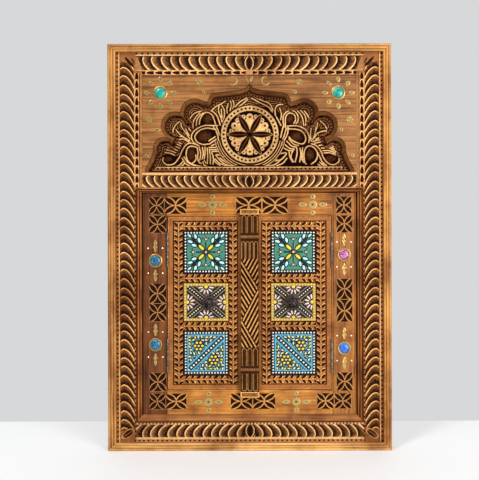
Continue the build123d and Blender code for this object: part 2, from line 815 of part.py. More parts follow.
def build_door(side, word, knob_share):
    """Builds every piece of one door, from its stiles and rails to its tiles, knob and hinges."""
    def across(distance):
        return side * (leaf_outer - distance)

    def door_slab(near, far, z_low, z_high, back, front, mode=Mode.ADD):
        slab(across(near), across(far), z_low, z_high, back, front, mode)

    def panel_recess():
        door_slab(back_panel_margin, leaf_width - back_panel_margin,
                  leaf_bottom + back_panel_margin, leaf_top - back_panel_margin,
                  door_back - cut_overrun, tile_level, Mode.SUBTRACT)

    def rail_joints(near, far, z_low, z_high, gap=0, mode=Mode.ADD):
        door_slab(near, far, z_low + door_tenon_shoulder - gap, z_high - door_tenon_shoulder + gap,
                  tile_level + door_tenon_level - gap,
                  tile_level + door_tenon_level + door_tenon_thickness + gap, mode)

    def sockets(near, far):
        for bands in door_rails.values():
            for z_low, z_high in bands:
                rail_joints(near, far, z_low, z_high, glue_gap, Mode.SUBTRACT)

    knob_x = across(knob_middle + knob_share * tile_window_width)

    with BuildPart() as hinge_stile:
        door_slab(0, hinge_stile_width, leaf_bottom, leaf_top, door_back, surround_level)
        panel_recess()
        sockets(hinge_stile_width - door_tenon_length - glue_gap, hinge_stile_width)
        for middle in hinge_heights:
            door_slab(-cut_overrun, hinge_plate_thickness,
                      middle - hinge_length / 2 - glue_gap, middle + hinge_length / 2 + glue_gap,
                      surround_level - hinge_plate_width - glue_gap, surround_level + cut_overrun,
                      Mode.SUBTRACT)
            for step in (-1, 0, 1):
                side_post(across(0), across(hinge_screw_length + screw_clearance),
                          middle + step * hinge_screw_spacing, hinge_screw_level,
                          hinge_screw_radius + screw_clearance, Mode.SUBTRACT)
    keep(hinge_stile, f"{word}_door_hinge_stile")

    with BuildPart() as meeting_stile:
        door_slab(meeting_stile_edge, leaf_width, leaf_bottom, leaf_top, door_back, surround_level)
        panel_recess()
        sockets(meeting_stile_edge, meeting_stile_edge + door_tenon_length + glue_gap)
    keep(meeting_stile, f"{word}_door_meeting_stile")

    for rail_name, bands in door_rails.items():
        with BuildPart() as rail:
            for z_low, z_high in bands:
                door_slab(hinge_stile_width, meeting_stile_edge, z_low, z_high, door_back, surround_level)
                rail_joints(hinge_stile_width - door_tenon_length, hinge_stile_width, z_low, z_high)
                rail_joints(meeting_stile_edge, meeting_stile_edge + door_tenon_length, z_low, z_high)
            panel_recess()
        keep(rail, f"{word}_door_{rail_name}")

    with BuildPart() as back_panel:
        door_slab(back_panel_margin + panel_clearance, leaf_width - back_panel_margin - panel_clearance,
                  leaf_bottom + back_panel_margin + panel_clearance,
                  leaf_top - back_panel_margin - panel_clearance, door_back, tile_level)
        post(knob_x, knob_z, knob_shank_radius + pin_clearance, door_back - cut_overrun,
             tile_level + cut_overrun, Mode.SUBTRACT)
    keep(back_panel, f"{word}_door_back_panel")

    for colour in ("green", "yellow", "blue"):
        with BuildPart() as tile:
            door_slab(hinge_stile_width + tile_clearance, meeting_stile_edge - tile_clearance,
                      window_bottoms[colour] + tile_clearance, window_tops[colour] - tile_clearance,
                      tile_level, tile_level + tile_thickness)
            if colour == "yellow":
                post(knob_x, knob_z, knob_shank_radius + pin_clearance, tile_level - cut_overrun,
                     tile_level + tile_thickness + cut_overrun, Mode.SUBTRACT)
        keep(tile, f"{word}_door_{colour}_tile")

    # The knob is one casting: a petalled plate, a neck, a head and a shank through tile and panel
    seat = tile_level + tile_thickness
    with BuildPart() as knob:
        with BuildSketch(level_plane(seat)):
            with Locations((knob_x, knob_z)):
                Circle(knob_radius - knob_neck_radius / 2)
                with PolarLocations(knob_radius - knob_neck_radius, knob_petals):
                    Circle(knob_neck_radius)
        extrude(amount=knob_plate)
        post(knob_x, knob_z, knob_neck_radius, seat, seat + knob_height / 2)
        with Locations((knob_x, y_of(seat + knob_height / 2), knob_z)):
            Cone(knob_neck_radius, knob_head_radius, knob_height / 4,
                 rotation=(90, 0, 0), align=(Align.CENTER, Align.CENTER, Align.MIN))
        with Locations((knob_x, y_of(seat + knob_height * 3 / 4), knob_z)):
            Cone(knob_head_radius, knob_neck_radius, knob_height / 4,
                 rotation=(90, 0, 0), align=(Align.CENTER, Align.CENTER, Align.MIN))
        post(knob_x, knob_z, knob_shank_radius, door_back + knob_shank_end, seat)
    keep(knob, f"{word}_door_knob")

    with BuildPart() as door_plates:
        hinge_plates(side, door_knuckle_shares, -1)
    keep(door_plates, f"{word}_door_hinge_plates")

    with BuildPart() as door_screws:
        hinge_screws(side, -1)
    keep(door_screws, f"{word}_door_hinge_screws")


build_door(-1, "left", left_knob_share)
build_door(1, "right", right_knob_share)

# Carved pillar, glued to the right door and lapping over the left door and the boards of the frame.
# Heights run down from the top cap to the bottom cap, mirrored about a long woven middle.
pillar_top = leaf_top + pillar_lap
pillar_bottom = leaf_bottom - pillar_lap
half_pillar = pillar_width / 2
with BuildPart() as pillar:
    for end, inward in ((pillar_top, -1), (pillar_bottom, 1)):
        place = end
        for length, trim_x, trim_face in ((cap_height, 0, 0), (panel_height, pillar_step / 2, pillar_step),
                                          (collar_height, 0, 0), (panel_height, pillar_step / 2, pillar_step)):
            slab(trim_x - half_pillar, half_pillar - trim_x, place, place + inward * length,
                 surround_level, surround_level + pillar_thickness - trim_face)
            place += inward * length
        if inward < 0:
            weave_top = place
    slab(pillar_step / 2 - half_pillar, half_pillar - pillar_step / 2, place, weave_top,
         surround_level, surround_level + pillar_thickness - pillar_step / 2)
    relief_face = surround_level + pillar_relief
    slab(-pillar_width, meeting_gap, pillar_bottom - cut_overrun, pillar_top + cut_overrun,
         surround_level - cut_overrun, relief_face, Mode.SUBTRACT)
    slab(-pillar_width, pillar_width, leaf_top, pillar_top + cut_overrun,
         surround_level - cut_overrun, relief_face, Mode.SUBTRACT)
    slab(-pillar_width, pillar_width, pillar_bottom - cut_overrun, leaf_bottom,
         surround_level - cut_overrun, relief_face, Mode.SUBTRACT)
keep(pillar, "pillar")
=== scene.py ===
import bpy
import bmesh
import numpy as np
from math import atan2, cos, pi, radians, sin
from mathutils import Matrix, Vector
from mathutils.kdtree import KDTree


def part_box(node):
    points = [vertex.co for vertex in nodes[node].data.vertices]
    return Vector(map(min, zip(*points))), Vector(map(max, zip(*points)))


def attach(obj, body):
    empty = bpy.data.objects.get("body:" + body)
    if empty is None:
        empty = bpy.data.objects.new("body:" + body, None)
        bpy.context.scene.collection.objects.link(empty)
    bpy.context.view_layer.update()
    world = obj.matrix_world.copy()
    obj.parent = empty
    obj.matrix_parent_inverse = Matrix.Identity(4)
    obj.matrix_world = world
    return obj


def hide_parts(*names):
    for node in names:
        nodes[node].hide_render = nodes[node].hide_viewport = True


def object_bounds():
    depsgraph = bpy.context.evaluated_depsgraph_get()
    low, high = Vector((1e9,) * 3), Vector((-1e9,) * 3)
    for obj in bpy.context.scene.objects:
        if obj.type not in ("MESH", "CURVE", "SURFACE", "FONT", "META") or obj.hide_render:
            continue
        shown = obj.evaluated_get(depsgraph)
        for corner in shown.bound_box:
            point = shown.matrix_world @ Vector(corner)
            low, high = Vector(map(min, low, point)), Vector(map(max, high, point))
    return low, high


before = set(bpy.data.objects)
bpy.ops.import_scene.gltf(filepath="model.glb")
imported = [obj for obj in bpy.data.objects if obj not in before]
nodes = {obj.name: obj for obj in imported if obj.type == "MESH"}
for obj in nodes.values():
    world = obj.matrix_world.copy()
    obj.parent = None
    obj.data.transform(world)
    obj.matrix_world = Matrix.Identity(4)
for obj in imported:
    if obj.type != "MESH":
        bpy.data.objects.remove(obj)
cad_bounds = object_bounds()
scene = bpy.context.scene
scene.view_settings.view_transform = "Standard"

# Studio. A pale floor ends a little way behind the mirror, and pale light comes from all round it, brighter
# from behind the mirror than from the front. Three lamps stand in front.


def set_inputs(tree, node, inputs):
    """Gives a node's inputs their values, or joins them to the outlets given in place of values."""
    for name, value in inputs.items():
        if isinstance(value, bpy.types.NodeSocket):
            tree.links.new(value, node.inputs[name])
        else:
            node.inputs[name].default_value = value


def add_node(tree, kind, inputs, **settings):
    """A new node. Its settings come first, because they decide which inputs it has."""
    node = tree.nodes.new(kind)
    for name, value in settings.items():
        setattr(node, name, value)
    set_inputs(tree, node, inputs)
    return node


def ranged(tree, value, low, high, start=0.0, end=1.0):
    """Spreads a value that runs from start to end over the range from low to high, and keeps it there."""
    return add_node(tree, "ShaderNodeMapRange", {
        "Value": value, "From Min": start, "From Max": end, "To Min": low, "To Max": high}).outputs["Result"]


def front_to_back(tree, place):
    """How far back a place lies."""
    return add_node(tree, "ShaderNodeSeparateXYZ", {"Vector": place}).outputs["Y"]


def new_material(name):
    """A material, its tree of nodes and its shader."""
    material = bpy.data.materials.new(name)
    material.use_nodes = True
    return material, material.node_tree, material.node_tree.nodes["Principled BSDF"]


def put_in_scene(name, data):
    """An object made of the given data, in the scene."""
    made = bpy.data.objects.new(name, data)
    scene.collection.objects.link(made)
    return made


world = bpy.data.worlds.new("studio_air")
scene.world = world
world.use_nodes = True
air = world.node_tree
all_round = air.nodes.new("ShaderNodeTexCoord").outputs["Generated"]
front_strength, back_strength = 0.32, 0.70
set_inputs(air, air.nodes["Background"], {
    "Color": (0.96, 0.98, 1.0, 1),
    "Strength": ranged(air, front_to_back(air, all_round), front_strength, back_strength, -0.1, 0.3)})

floor_reach, floor_end = 4, 0.25
floor_mesh = bpy.data.meshes.new("studio_floor")
floor_mesh.from_pydata([(-floor_reach, -floor_reach, 0), (floor_reach, -floor_reach, 0),
                        (floor_reach, floor_end, 0), (-floor_reach, floor_end, 0)], [], [(0, 1, 2, 3)])
floor_paint, floor_tree, floor_shader = new_material("studio_floor_paint")
set_inputs(floor_tree, floor_shader, {
    "Base Color": (0.62, 0.62, 0.62, 1), "Roughness": 0.6,
    "Emission Color": (0.9, 0.9, 0.9, 1), "Emission Strength": 0.31})
floor_mesh.materials.append(floor_paint)
put_in_scene("studio_floor", floor_mesh)

for lamp_name, place, aim, size, power in (
        ("key_light", (-1.7, -2.6, 3.4), (0, 0, 0.4), 0.8, 90),
        ("fill_light", (2.2, -3.0, 0.8), (0, 0, 0.2), 1.6, 116),
        ("top_light", (0.4, -1.4, 3.2), (0, 0, 0.5), 1.0, 22)):
    lamp_data = bpy.data.lights.new(lamp_name, "AREA")
    lamp_data.size = size
    lamp_data.energy = power
    lamp = put_in_scene(lamp_name, lamp_data)
    lamp.location = place
    lamp.rotation_euler = (Vector(aim) - Vector(place)).to_track_quat("-Z", "Y").to_euler()

# The camera stands 1.6 m in front of the carved face, which lies a little behind the knobs, and is level
# with the middle of the frame. A pixel of the photograph covers 2.25 mm of the face.
camera_distance, knobs_stand_out = 1.6, 0.005
picture_width, pixel_size, sensor = 479, 0.00225, 36
camera_data = bpy.data.cameras.new("photo_camera")
camera_data.sensor_width = sensor
camera_data.lens = sensor / (picture_width * pixel_size / camera_distance)
camera_data.shift_x = -10.1 / picture_width
camera_data.shift_y = 7.2 / picture_width
camera = put_in_scene("photo_camera", camera_data)
camera.location = (0, cad_bounds[0][1] - camera_distance + knobs_stand_out, cad_bounds[1][2] / 2)
camera.rotation_euler = (pi / 2, radians(0.14), 0)
scene.camera = camera

# Edge moulding. Four strips of light, honey-stained wood with three reeds along the front, mitred at the
# corners and glued round the carved frame. The strips share one wood, coloured apart as painted light and
# shade: the left and top ones darker, the right one lighter, the bottom one lightest. The grooves between
# the reeds and the sides behind them are painted darker with depth, partly for stain gathered there and
# partly as painted shade.


def object_places(tree):
    """Places on the piece, in metres from the foot of the mirror's middle."""
    return tree.nodes.new("ShaderNodeTexCoord").outputs["Object"]


def grain_places(tree, place, along):
    """Places drawn out along the board, so noise on them looks like wood grain."""
    return add_node(tree, "ShaderNodeMapping", {
        "Vector": place, "Scale": {"x": (5, 120, 185), "z": (185, 120, 5)}[along]}).outputs["Vector"]


def noise(tree, place, scale, detail, roughness=0.5, distortion=0.0):
    """An uneven value from 0 to 1."""
    return add_node(tree, "ShaderNodeTexNoise", {
        "Vector": place, "Scale": scale, "Detail": detail, "Roughness": roughness,
        "Distortion": distortion}).outputs["Fac"]


def ramp(tree, value, stops):
    """A colour ramp with stops of (position, colour)."""
    node = add_node(tree, "ShaderNodeValToRGB", {"Fac": value})
    elements = node.color_ramp.elements
    while len(elements) < len(stops):
        elements.new(0.5)
    for element, (position, colour) in zip(elements, stops):
        element.position = position
        element.color = (*colour, 1)
    return node.outputs["Color"]


def blend(tree, share, under, over, data_type="RGBA"):
    """A share of one colour or value over another."""
    return add_node(tree, "ShaderNodeMix", {"Factor": share, "A": under, "B": over},
                    data_type=data_type).outputs["Result"]


def bumped(tree, height, strength, distance):
    """A fine relief for the shader, made from a value that stands for its height."""
    return add_node(tree, "ShaderNodeBump", {
        "Height": height, "Strength": strength, "Distance": distance}).outputs["Normal"]


def halfway(light, dark):
    """The colour between two colours."""
    return tuple((a + b) / 2 for a, b in zip(light, dark))


def patchy(tree, place, colour):
    """Wood that took its stain unevenly, in broad patches that are redder where they are darker."""
    tint = ramp(tree, noise(tree, place, 17, 5, roughness=0.62), (
        (0.34, (0.60, 0.49, 0.40)), (0.5, (1.0, 0.98, 0.95)), (0.66, (1.22, 1.24, 1.22))))
    return add_node(tree, "ShaderNodeVectorMath", {0: colour, 1: tint}, operation="MULTIPLY").outputs["Vector"]


def stained_wood(name, along, light, dark, face=None, drop=0.004, cut=(0.03, 0.012, 0.006),
                 stain_and_shade_depths=((0, 0), (1, 1)), wear_and_highlight=None):
    """Stained and lacquered wood. At given depths behind the face it is painted darker, partly for stain
    gathered in the cuts and partly as painted shade there. The face itself is painted pale, partly for
    rubbed wear and partly as a painted highlight.
    """
    material, tree, shader = new_material(name)
    place = object_places(tree)
    fine = noise(tree, grain_places(tree, place, along), 1.2, 5, distortion=1.1)
    figure = blend(tree, 0.25, fine, noise(tree, place, 9, 3), data_type="FLOAT")
    colour = patchy(tree, place, ramp(tree, figure, (
        (0.38, dark), (0.48, halfway(light, dark)), (0.60, light))))
    sheen = 0.22
    if face is not None:
        back = front_to_back(tree, place)
        # Painted darker with depth: stain gathered in grooves and cuts, and painted shade in them as well.
        stain_and_shade = ramp(tree, ranged(tree, back, 0, 1, face + 0.0002, face + drop),
                       [(stop, (share,) * 3) for stop, share in stain_and_shade_depths])
        colour = blend(tree, stain_and_shade, colour, (*cut, 1))
        sheen = ranged(tree, stain_and_shade, sheen, 0.03)
        if wear_and_highlight is not None:
            # The frontmost face is painted pale: rubbed wear on the high points, and a painted highlight on them
            # as well.
            edge = ranged(tree, back, 0, 1, face - 0.00008, face - 0.00026)
            colour = blend(tree, edge, colour, (*wear_and_highlight, 1))
    set_inputs(tree, shader, {
        "Base Color": colour, "Specular IOR Level": sheen, "Roughness": ranged(tree, fine, 0.37, 0.59),
        "Normal": bumped(tree, fine, 0.25, 0.0006)})
    return material


def finish_node(node, material):
    """Gives a CAD piece its finish."""
    mesh = nodes[node].data
    mesh.materials.clear()
    mesh.materials.append(material)


edge_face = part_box("top_edge_moulding")[0].y
# Painted light and shade: each strip's colours are set for how light falls on that side, darker on the left and
# top, lighter on the right and lightest at the bottom.
for side, along, light, dark in (
        ("left", "z", (0.48, 0.225, 0.060), (0.22, 0.080, 0.017)),
        ("right", "z", (0.54, 0.255, 0.064), (0.28, 0.105, 0.021)),
        ("top", "x", (0.47, 0.225, 0.062), (0.22, 0.080, 0.017)),
        ("bottom", "x", (0.64, 0.345, 0.108), (0.38, 0.165, 0.042))):
    finish_node(side + "_edge_moulding", stained_wood(
        side + "_edge_wood", along, light, dark, face=edge_face, drop=0.012, cut=(0.09, 0.028, 0.007),
        stain_and_shade_depths=((0, 0), (0.28, 1), (0.36, 0.45), (1, 0.45))))


# Carved stiles. Two long boards cut with a row of overlapping feathers, a beaded line and rows of drilled
# dots. Beside the arched panel each stile carries a narrow lip with a row of small leaves.


def carved_strip(x_range, z_range, cell, face, depth, thick, height):
    """A closed strip, flat behind, whose front follows a carved height from 0, deep, to 1, uncut."""
    across = max(2, round((x_range[1] - x_range[0]) / cell)) + 1
    up = max(2, round((z_range[1] - z_range[0]) / cell)) + 1
    x, z = np.meshgrid(np.linspace(*x_range, across), np.linspace(*z_range, up))
    carved = np.clip(height(x * 1000, z * 1000), 0, 1)
    front = np.column_stack([x.ravel(), (face + (1 - carved) * depth).ravel(), z.ravel()])
    first = (np.arange(up - 1)[:, None] * across + np.arange(across - 1)).ravel()
    quads = np.column_stack([first, first + 1, first + 1 + across, first + across])
    rim = np.concatenate([np.arange(across), across * np.arange(1, up) + across - 1,
                          across * (up - 1) + np.arange(across - 2, -1, -1), across * np.arange(up - 2, 0, -1)])
    back = front[rim].copy()
    back[:, 1] = face + thick
    behind = len(front) + np.arange(len(rim))
    sides = np.column_stack([rim, behind, np.roll(behind, -1), np.roll(rim, -1)])
    strip = bpy.data.meshes.new("strip")
    strip.from_pydata(np.vstack([front, back]).tolist(), [],
                      quads.tolist() + sides.tolist() + [behind[::-1].tolist()])
    return strip


def merged_copy(node):
    """A CAD piece's mesh with its loose triangles joined."""
    bm = bmesh.new()
    bm.from_mesh(nodes[node].data)
    bmesh.ops.remove_doubles(bm, verts=bm.verts, dist=1e-6)
    return bm


def smooth_mesh(bm, name, angle):
    """Turns built geometry into a mesh that is smooth but for its edges sharper than the angle."""
    mesh = bpy.data.meshes.new(name)
    bm.to_mesh(mesh)
    bm.free()
    mesh.shade_smooth()
    mesh.set_sharp_from_angle(angle=radians(angle))
    return mesh


def fit_piece(piece, body, node):
    """Puts a finished piece on its body, in place of a CAD piece, which is hidden."""
    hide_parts(node)
    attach(piece, body)


def join_in(bm, mesh):
    """Adds a plain mesh to geometry being built, and lets the mesh go."""
    bm.from_mesh(mesh)
    bpy.data.meshes.remove(mesh)


def carved_board(node, body, face, depth, strips, finishes, cell=0.001, thick=0.004):
    """A board with a carved front: its plain back part cut off behind the face, and carved strips on it."""
    bm = merged_copy(node)
    for vert in bm.verts:
        vert.co.y = max(vert.co.y, face + thick)
    for polygon in bm.faces:
        polygon.material_index = 1
    for x_range, z_range, height in strips:
        join_in(bm, carved_strip(x_range, z_range, cell, face, depth, thick, height))
    mesh = smooth_mesh(bm, node + "_carved", 50)
    for finish in finishes:
        mesh.materials.append(finish)
    board = put_in_scene(node + "_carved", mesh)
    fit_piece(board, body, node)
    return board


def weighed(tree, value, weight, base):
    """A value times its weight, plus a base."""
    return add_node(tree, "ShaderNodeMath", {0: value, 1: weight, 2: base},
                    operation="MULTIPLY_ADD").outputs["Value"]


def carved_wood(name, face, depth, ridge, belly, deep=(0.014, 0.006, 0.0035)):
    """Wood golden on its ridges, brown on its slopes and nearly black in the deepest cuts. The gold is partly
    rubbed wear and partly a painted highlight; the darkening into the cuts is partly dark wax and partly
    painted shade.
    """
    material, tree, shader = new_material(name)
    place = object_places(tree)
    level = ranged(tree, front_to_back(tree, place), 0, 1, face, face + depth)
    rubbing = noise(tree, place, 260, 4)
    wear_and_depth = weighed(tree, rubbing, 0.34, level)
    # Colour by depth: the ridge colour is partly a painted highlight, and the two darkest stops are partly painted
    # shade in the cuts.
    colour = ramp(tree, wear_and_depth, (
        (0.16, ridge), (0.30, halfway(ridge, belly)), (0.44, belly),
        (0.80, tuple(0.42 * part for part in belly)), (0.98, deep)))
    set_inputs(tree, shader, {
        "Base Color": patchy(tree, place, colour), "Roughness": ranged(tree, wear_and_depth, 0.38, 0.85),
        "Specular IOR Level": ranged(tree, wear_and_depth, 0.22, 0.02, 0.3, 0.8),
        "Normal": bumped(tree, rubbing, 0.3, 0.0005)})
    return material


def rounded(distance, reach):
    """A round-topped ridge: 1 on its line, falling to 0 at its reach."""
    return np.sqrt(np.clip(1 - (distance / reach) ** 2, 0, 1))


def hollow(distance, reach):
    """A cut with steep sides: 0 on its line, rising to 1 at its reach."""
    return np.clip((distance / reach - 0.6) / 0.4, 0, 1)


def dots(along, across, pitch, radius):
    """A row of drilled dots along a line."""
    return hollow(np.hypot((along / pitch - np.round(along / pitch)) * pitch, across), radius)


def scored(height, off, half, depth):
    """A height with a narrow line scored in it, so far from a place."""
    return np.where(np.abs(off) < half, depth, height)


def feathers(along, share, pitch, reach):
    """Overlapping feathers. Each crest hooks over at its root, share 0, and sweeps down to its tip, share 1."""
    hook = 0.22
    swept = np.where(share < hook, reach * 0.2 * ((hook - share) / hook) ** 2,
                     reach * (np.clip(share - hook, 0, 1) / (1 - hook)) ** 2)
    slope = np.where(share < hook, 0.3, 2 * reach * np.clip(share - hook, 0, 1) / (1 - hook) ** 2 / (reach * 1.25))
    steep = 1 / np.sqrt(1 + slope ** 2)
    wander = 0.05 * np.sin(along / pitch * 1.7) + 0.04 * np.sin(along / pitch * 0.61 + 1)
    phase = (along - swept) / pitch + wander
    phase = phase - np.floor(phase)
    under = phase * pitch * steep
    over = (1 - phase) * pitch * steep
    crest = np.maximum(rounded(under, 2.6), rounded(over, 1.3))
    belly = 0.48 * (1 - phase) ** 0.8
    stipple = 0.07 * np.random.default_rng(5).standard_normal(along.shape)
    return np.maximum(crest, belly + stipple * (crest < 0.3))


def cut_leaf(x, z, start, end, width):
    """A pointed leaf cut between two places: 0 along its middle, 1 outside it."""
    run = np.hypot(end[0] - start[0], end[1] - start[1])
    ux, uz = (end[0] - start[0]) / run, (end[1] - start[1]) / run
    along = ((x - start[0]) * ux + (z - start[1]) * uz) / run
    across = np.abs((z - start[1]) * ux - (x - start[0]) * uz)
    half = width / 2 * np.sin(pi * np.clip(along, 0, 1)) ** 0.7
    return np.where((along > 0) & (along < 1), np.clip((across - half * 0.55) / (half * 0.45 + 1e-6), 0, 1), 1)


def carved_oval(x, z, middle, half, turn):
    """An oval leaf with a ridge round it and along its spine, and whether a place lies on it."""
    u = (x - middle[0]) * cos(turn) + (z - middle[1]) * sin(turn)
    v = (z - middle[1]) * cos(turn) - (x - middle[0]) * sin(turn)
    off = np.hypot(u / half[0], v / half[1])
    inside = np.where(off < 1, 0.26 + 0.4 * rounded(v, 1.1), 0.05)
    return np.maximum(inside, rounded((off - 1) * half[1], 1.7)), off < 1.25


def drops(along, across, pitch):
    """A row of small dark drops, each under a curved crest, with plain wood either side."""
    bent = along / pitch + 0.018 * across ** 2
    phase = (bent - np.floor(bent)) * pitch
    crest = np.maximum(rounded(phase, 2.2), rounded(pitch - phase, 1.6))
    reach = 3.7 * np.clip(np.sin(pi * np.clip((phase - 1.5) / (pitch - 3), 0, 1)), 0, 1) ** 0.6
    drop = np.clip((np.abs(across) - reach * 0.75) / 1.2, 0, 1)
    return np.where(np.abs(across) < 5.2, np.maximum(crest, 0.82 * drop), 0.8)


frame_half, frame_top = cad_bounds[1][0] * 1000, cad_bounds[1][2] * 1000
carved_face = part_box("bottom_rail")[0].y
carve_depth = 0.0028
feather_pitch, feather_outer, feather_inner = 19.8, 27.3, 58.3
panel_foot, panel_head = 592, 855


def stile_height(x, z):
    """Carving of a stile. Places across are counted from the outer edge of the frame."""
    edge = frame_half - np.abs(x)
    height = np.full(x.shape, 0.84)
    height = np.where(edge < 23.2, 0.64, height)
    height = np.minimum(height, dots(z, edge - 20.6, 10.4, 2.6))
    beaded = edge - 24.9 - 0.5 * np.sin(2 * pi * z / feather_pitch)
    height = np.maximum(height, 0.92 * rounded(beaded, 1.7))
    height = scored(height, edge - 26.9, 0.6, 0.2)
    plume = feathers(frame_top - 52 - z, (edge - feather_outer) / 31, feather_pitch, 25)
    in_plume = (edge > feather_outer) & (edge < feather_inner) & (z > 44) & (z < frame_top - 40)
    height = np.where(edge > feather_outer, np.where(in_plume, plume, 0.6), height)
    height = np.minimum(height, np.where(z < 846, dots(z, (edge - 60.4) * 1.2, 10.6, 2.6), 1))
    lip = scored(scored(drops(z, edge - 65, 19.4), edge - 71.6, 0.7, 0.25), edge - 75.2, 0.5, 0.4)
    height = np.where((z > panel_foot) & (z < 850) & (edge > feather_inner + 0.3), lip, height)
    for start, end, width in (((37, 887), (57, 864), 8.5), ((29, 877), (57, 851), 4), ((52, 885), (60, 872), 3.5)):
        height = np.minimum(height, cut_leaf(edge, z, start, end, width))
    leaf, on_leaf = carved_oval(edge, z, (43.5, 37), (15.5, 7.5), 0.62)
    return np.where(on_leaf & (z < 58), 0.84 * leaf, height)


stile_outer, stile_inner, lip_inner = 0.3005, 0.2565, 0.2415
stile_wood = carved_wood("carved_stile_wood", carved_face, carve_depth, (0.81, 0.45, 0.14), (0.30, 0.108, 0.031))
plain_wood_z = stained_wood("plain_wood_upright", "z", (0.36, 0.145, 0.036), (0.2, 0.07, 0.016))
plain_wood_x = stained_wood("plain_wood_level", "x", (0.36, 0.145, 0.036), (0.2, 0.07, 0.016))
for side, node in ((-1, "left_stile"), (1, "right_stile")):
    low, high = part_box(node)
    band = sorted((side * stile_outer, side * stile_inner))
    lip = sorted((side * stile_inner, side * lip_inner))
    carved_board(node, "frame", carved_face, carve_depth, (
        (band, (low.z, high.z), stile_height),
        (lip, (0.590, panel_head / 1000), stile_height)), (stile_wood, plain_wood_z))

# Carved rails. The top, middle and bottom boards carry the same feathers, running from each side towards
# a bud in the middle. The top rail also has the lip over the arched panel, with its row of small leaves.
bud_half = 10.5


def rail_feathers(x, share, pitch):
    """Feathers from both sides of a rail, and the bud where they meet."""
    plume = feathers(bud_half - np.abs(x), share, pitch, 15)
    outline = bud_half * np.sin(pi * np.clip(0.95 - share * 0.88, 0, 1)) ** 0.6
    inside = np.abs(x) < outline
    bud = np.maximum(rounded(outline - np.abs(x) - 0.8, 2.3), 0.10 + 0.22 * np.abs(x) / bud_half)
    beside = 0.04 + 0.96 * np.clip((np.abs(x) - outline - 2.6) / 1.5, 0, 1)
    return np.where(inside, bud, np.minimum(plume, beside))


def top_rail_height(x, z):
    """Carving of the top rail, from the drilled row down to the small leaves."""
    pitch, feather_head, feather_foot = 20.8, 887, 857
    height = np.where(z > 892, 0.64, 0.84)
    height = np.minimum(height, dots(x, z - 893.6, 13.4, 2.9))
    height = np.maximum(height, rounded(z - 889.8 - 0.5 * np.sin(2 * pi * x / pitch), 1.7))
    height = scored(height, z - 887.6, 0.6, 0.2)
    under_bead = (z < feather_head) & (z > feather_foot)
    feathered = under_bead & (np.abs(x) < 252 - 0.35 * (feather_head - z))
    height = np.where(under_bead, 0.6, height)
    height = np.where(feathered, rail_feathers(x, (feather_head - z) / 30, pitch), height)
    height = np.where(z < 855.6, drops(np.abs(x), z - 850.3, 19.4), height)
    height = np.where(np.hypot(x / 8.5, (z - 850.5) / 6.2) < 1, 0.74, height)
    return scored(height, z - 844.4, 0.6, 0.3)


def middle_rail_height(x, z):
    """Carving of the rail over the doors, under its plain bead."""
    feather_head, feather_foot = 618.6, 592.4
    height = np.where(z > 619.5, 0.52 + 0.34 * rounded(z - 622.6, 3.4), 0.84)
    height = scored(height, z - 619.2, 0.6, 0.15)
    plume = rail_feathers(x, (feather_head - z) / (feather_head - feather_foot), 17.1)
    height = np.where((z < feather_head) & (z > feather_foot), plume, height)
    return scored(height, z - 591.8, 0.5, 0.3)


def bottom_rail_height(x, z):
    """Carving of the bottom rail, whose feathers sweep upwards."""
    pitch, feather_head, feather_foot = 19.4, 57, 29
    height = np.minimum(0.84, dots(x, z - 60, 7.8, 1.7))
    plume = rail_feathers(x, (z - feather_foot) / (feather_head - feather_foot), pitch)
    height = np.where((z < feather_head) & (z > feather_foot), plume, height)
    height = np.maximum(height, 0.88 * rounded(z - 26.6 - 0.4 * np.sin(2 * pi * x / pitch), 1.6))
    height = np.where(z < 24.8, 0.64, height)
    return np.minimum(height, dots(x, z - 21.6, 10.4, 2.6))


rail_wood = carved_wood("carved_rail_wood", carved_face, carve_depth, (0.80, 0.48, 0.185), (0.36, 0.153, 0.055),
                        deep=(0.012, 0.005, 0.003))
for node, height in (("top_rail", top_rail_height), ("middle_rail", middle_rail_height),
                     ("bottom_rail", bottom_rail_height)):
    low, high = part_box(node)
    if node == "top_rail":
        lip_head = panel_head / 1000
        strips = (((-stile_inner, stile_inner), (lip_head, high.z), height),
                  ((-lip_inner, lip_inner), (low.z, lip_head), height))
    else:
        half = lip_inner if node == "middle_rail" else stile_inner
        strips = (((-half, half), (low.z, high.z), height),)
    carved_board(node, "frame", carved_face, carve_depth, strips, (rail_wood, plain_wood_x))

# Spandrel. One plain board with its grain running across, sawn to the many-lobed arch, with a broad bevel
# round the opening. The bevel is painted dark in bands by depth, partly for stain and partly as painted
# shade in the bevel. Brass and stones are let into its face.
spandrel_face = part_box("arch_spandrel")[0].y
spandrel_wood = stained_wood("spandrel_wood", "x", (0.315, 0.132, 0.035), (0.105, 0.036, 0.010),
                             face=spandrel_face + 0.0002, drop=0.014, cut=(0.05, 0.016, 0.005),
                             stain_and_shade_depths=((0, 0), (0.01, 0.9), (0.10, 0.8), (0.16, 0.36), (0.45, 0.40),
                                       (0.70, 0.32), (0.80, 0.9), (0.90, 0.97)))
finish_node("arch_spandrel", spandrel_wood)

# Arched panel. A thin board behind the spandrel, cut down to a dark ground so that flowers, plumes and a
# round rosette stand up in ridges. A row of drilled dots follows the arch, and another runs along its foot.
tympanum_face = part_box("carved_tympanum")[0].y
tympanum_depth = 0.0032
rosette_x, rosette_z = 1.0, 713.5
dot_inset, dot_pitch, dot_radius = 4.6, 6.6, 2.5
line_gap = 4.6

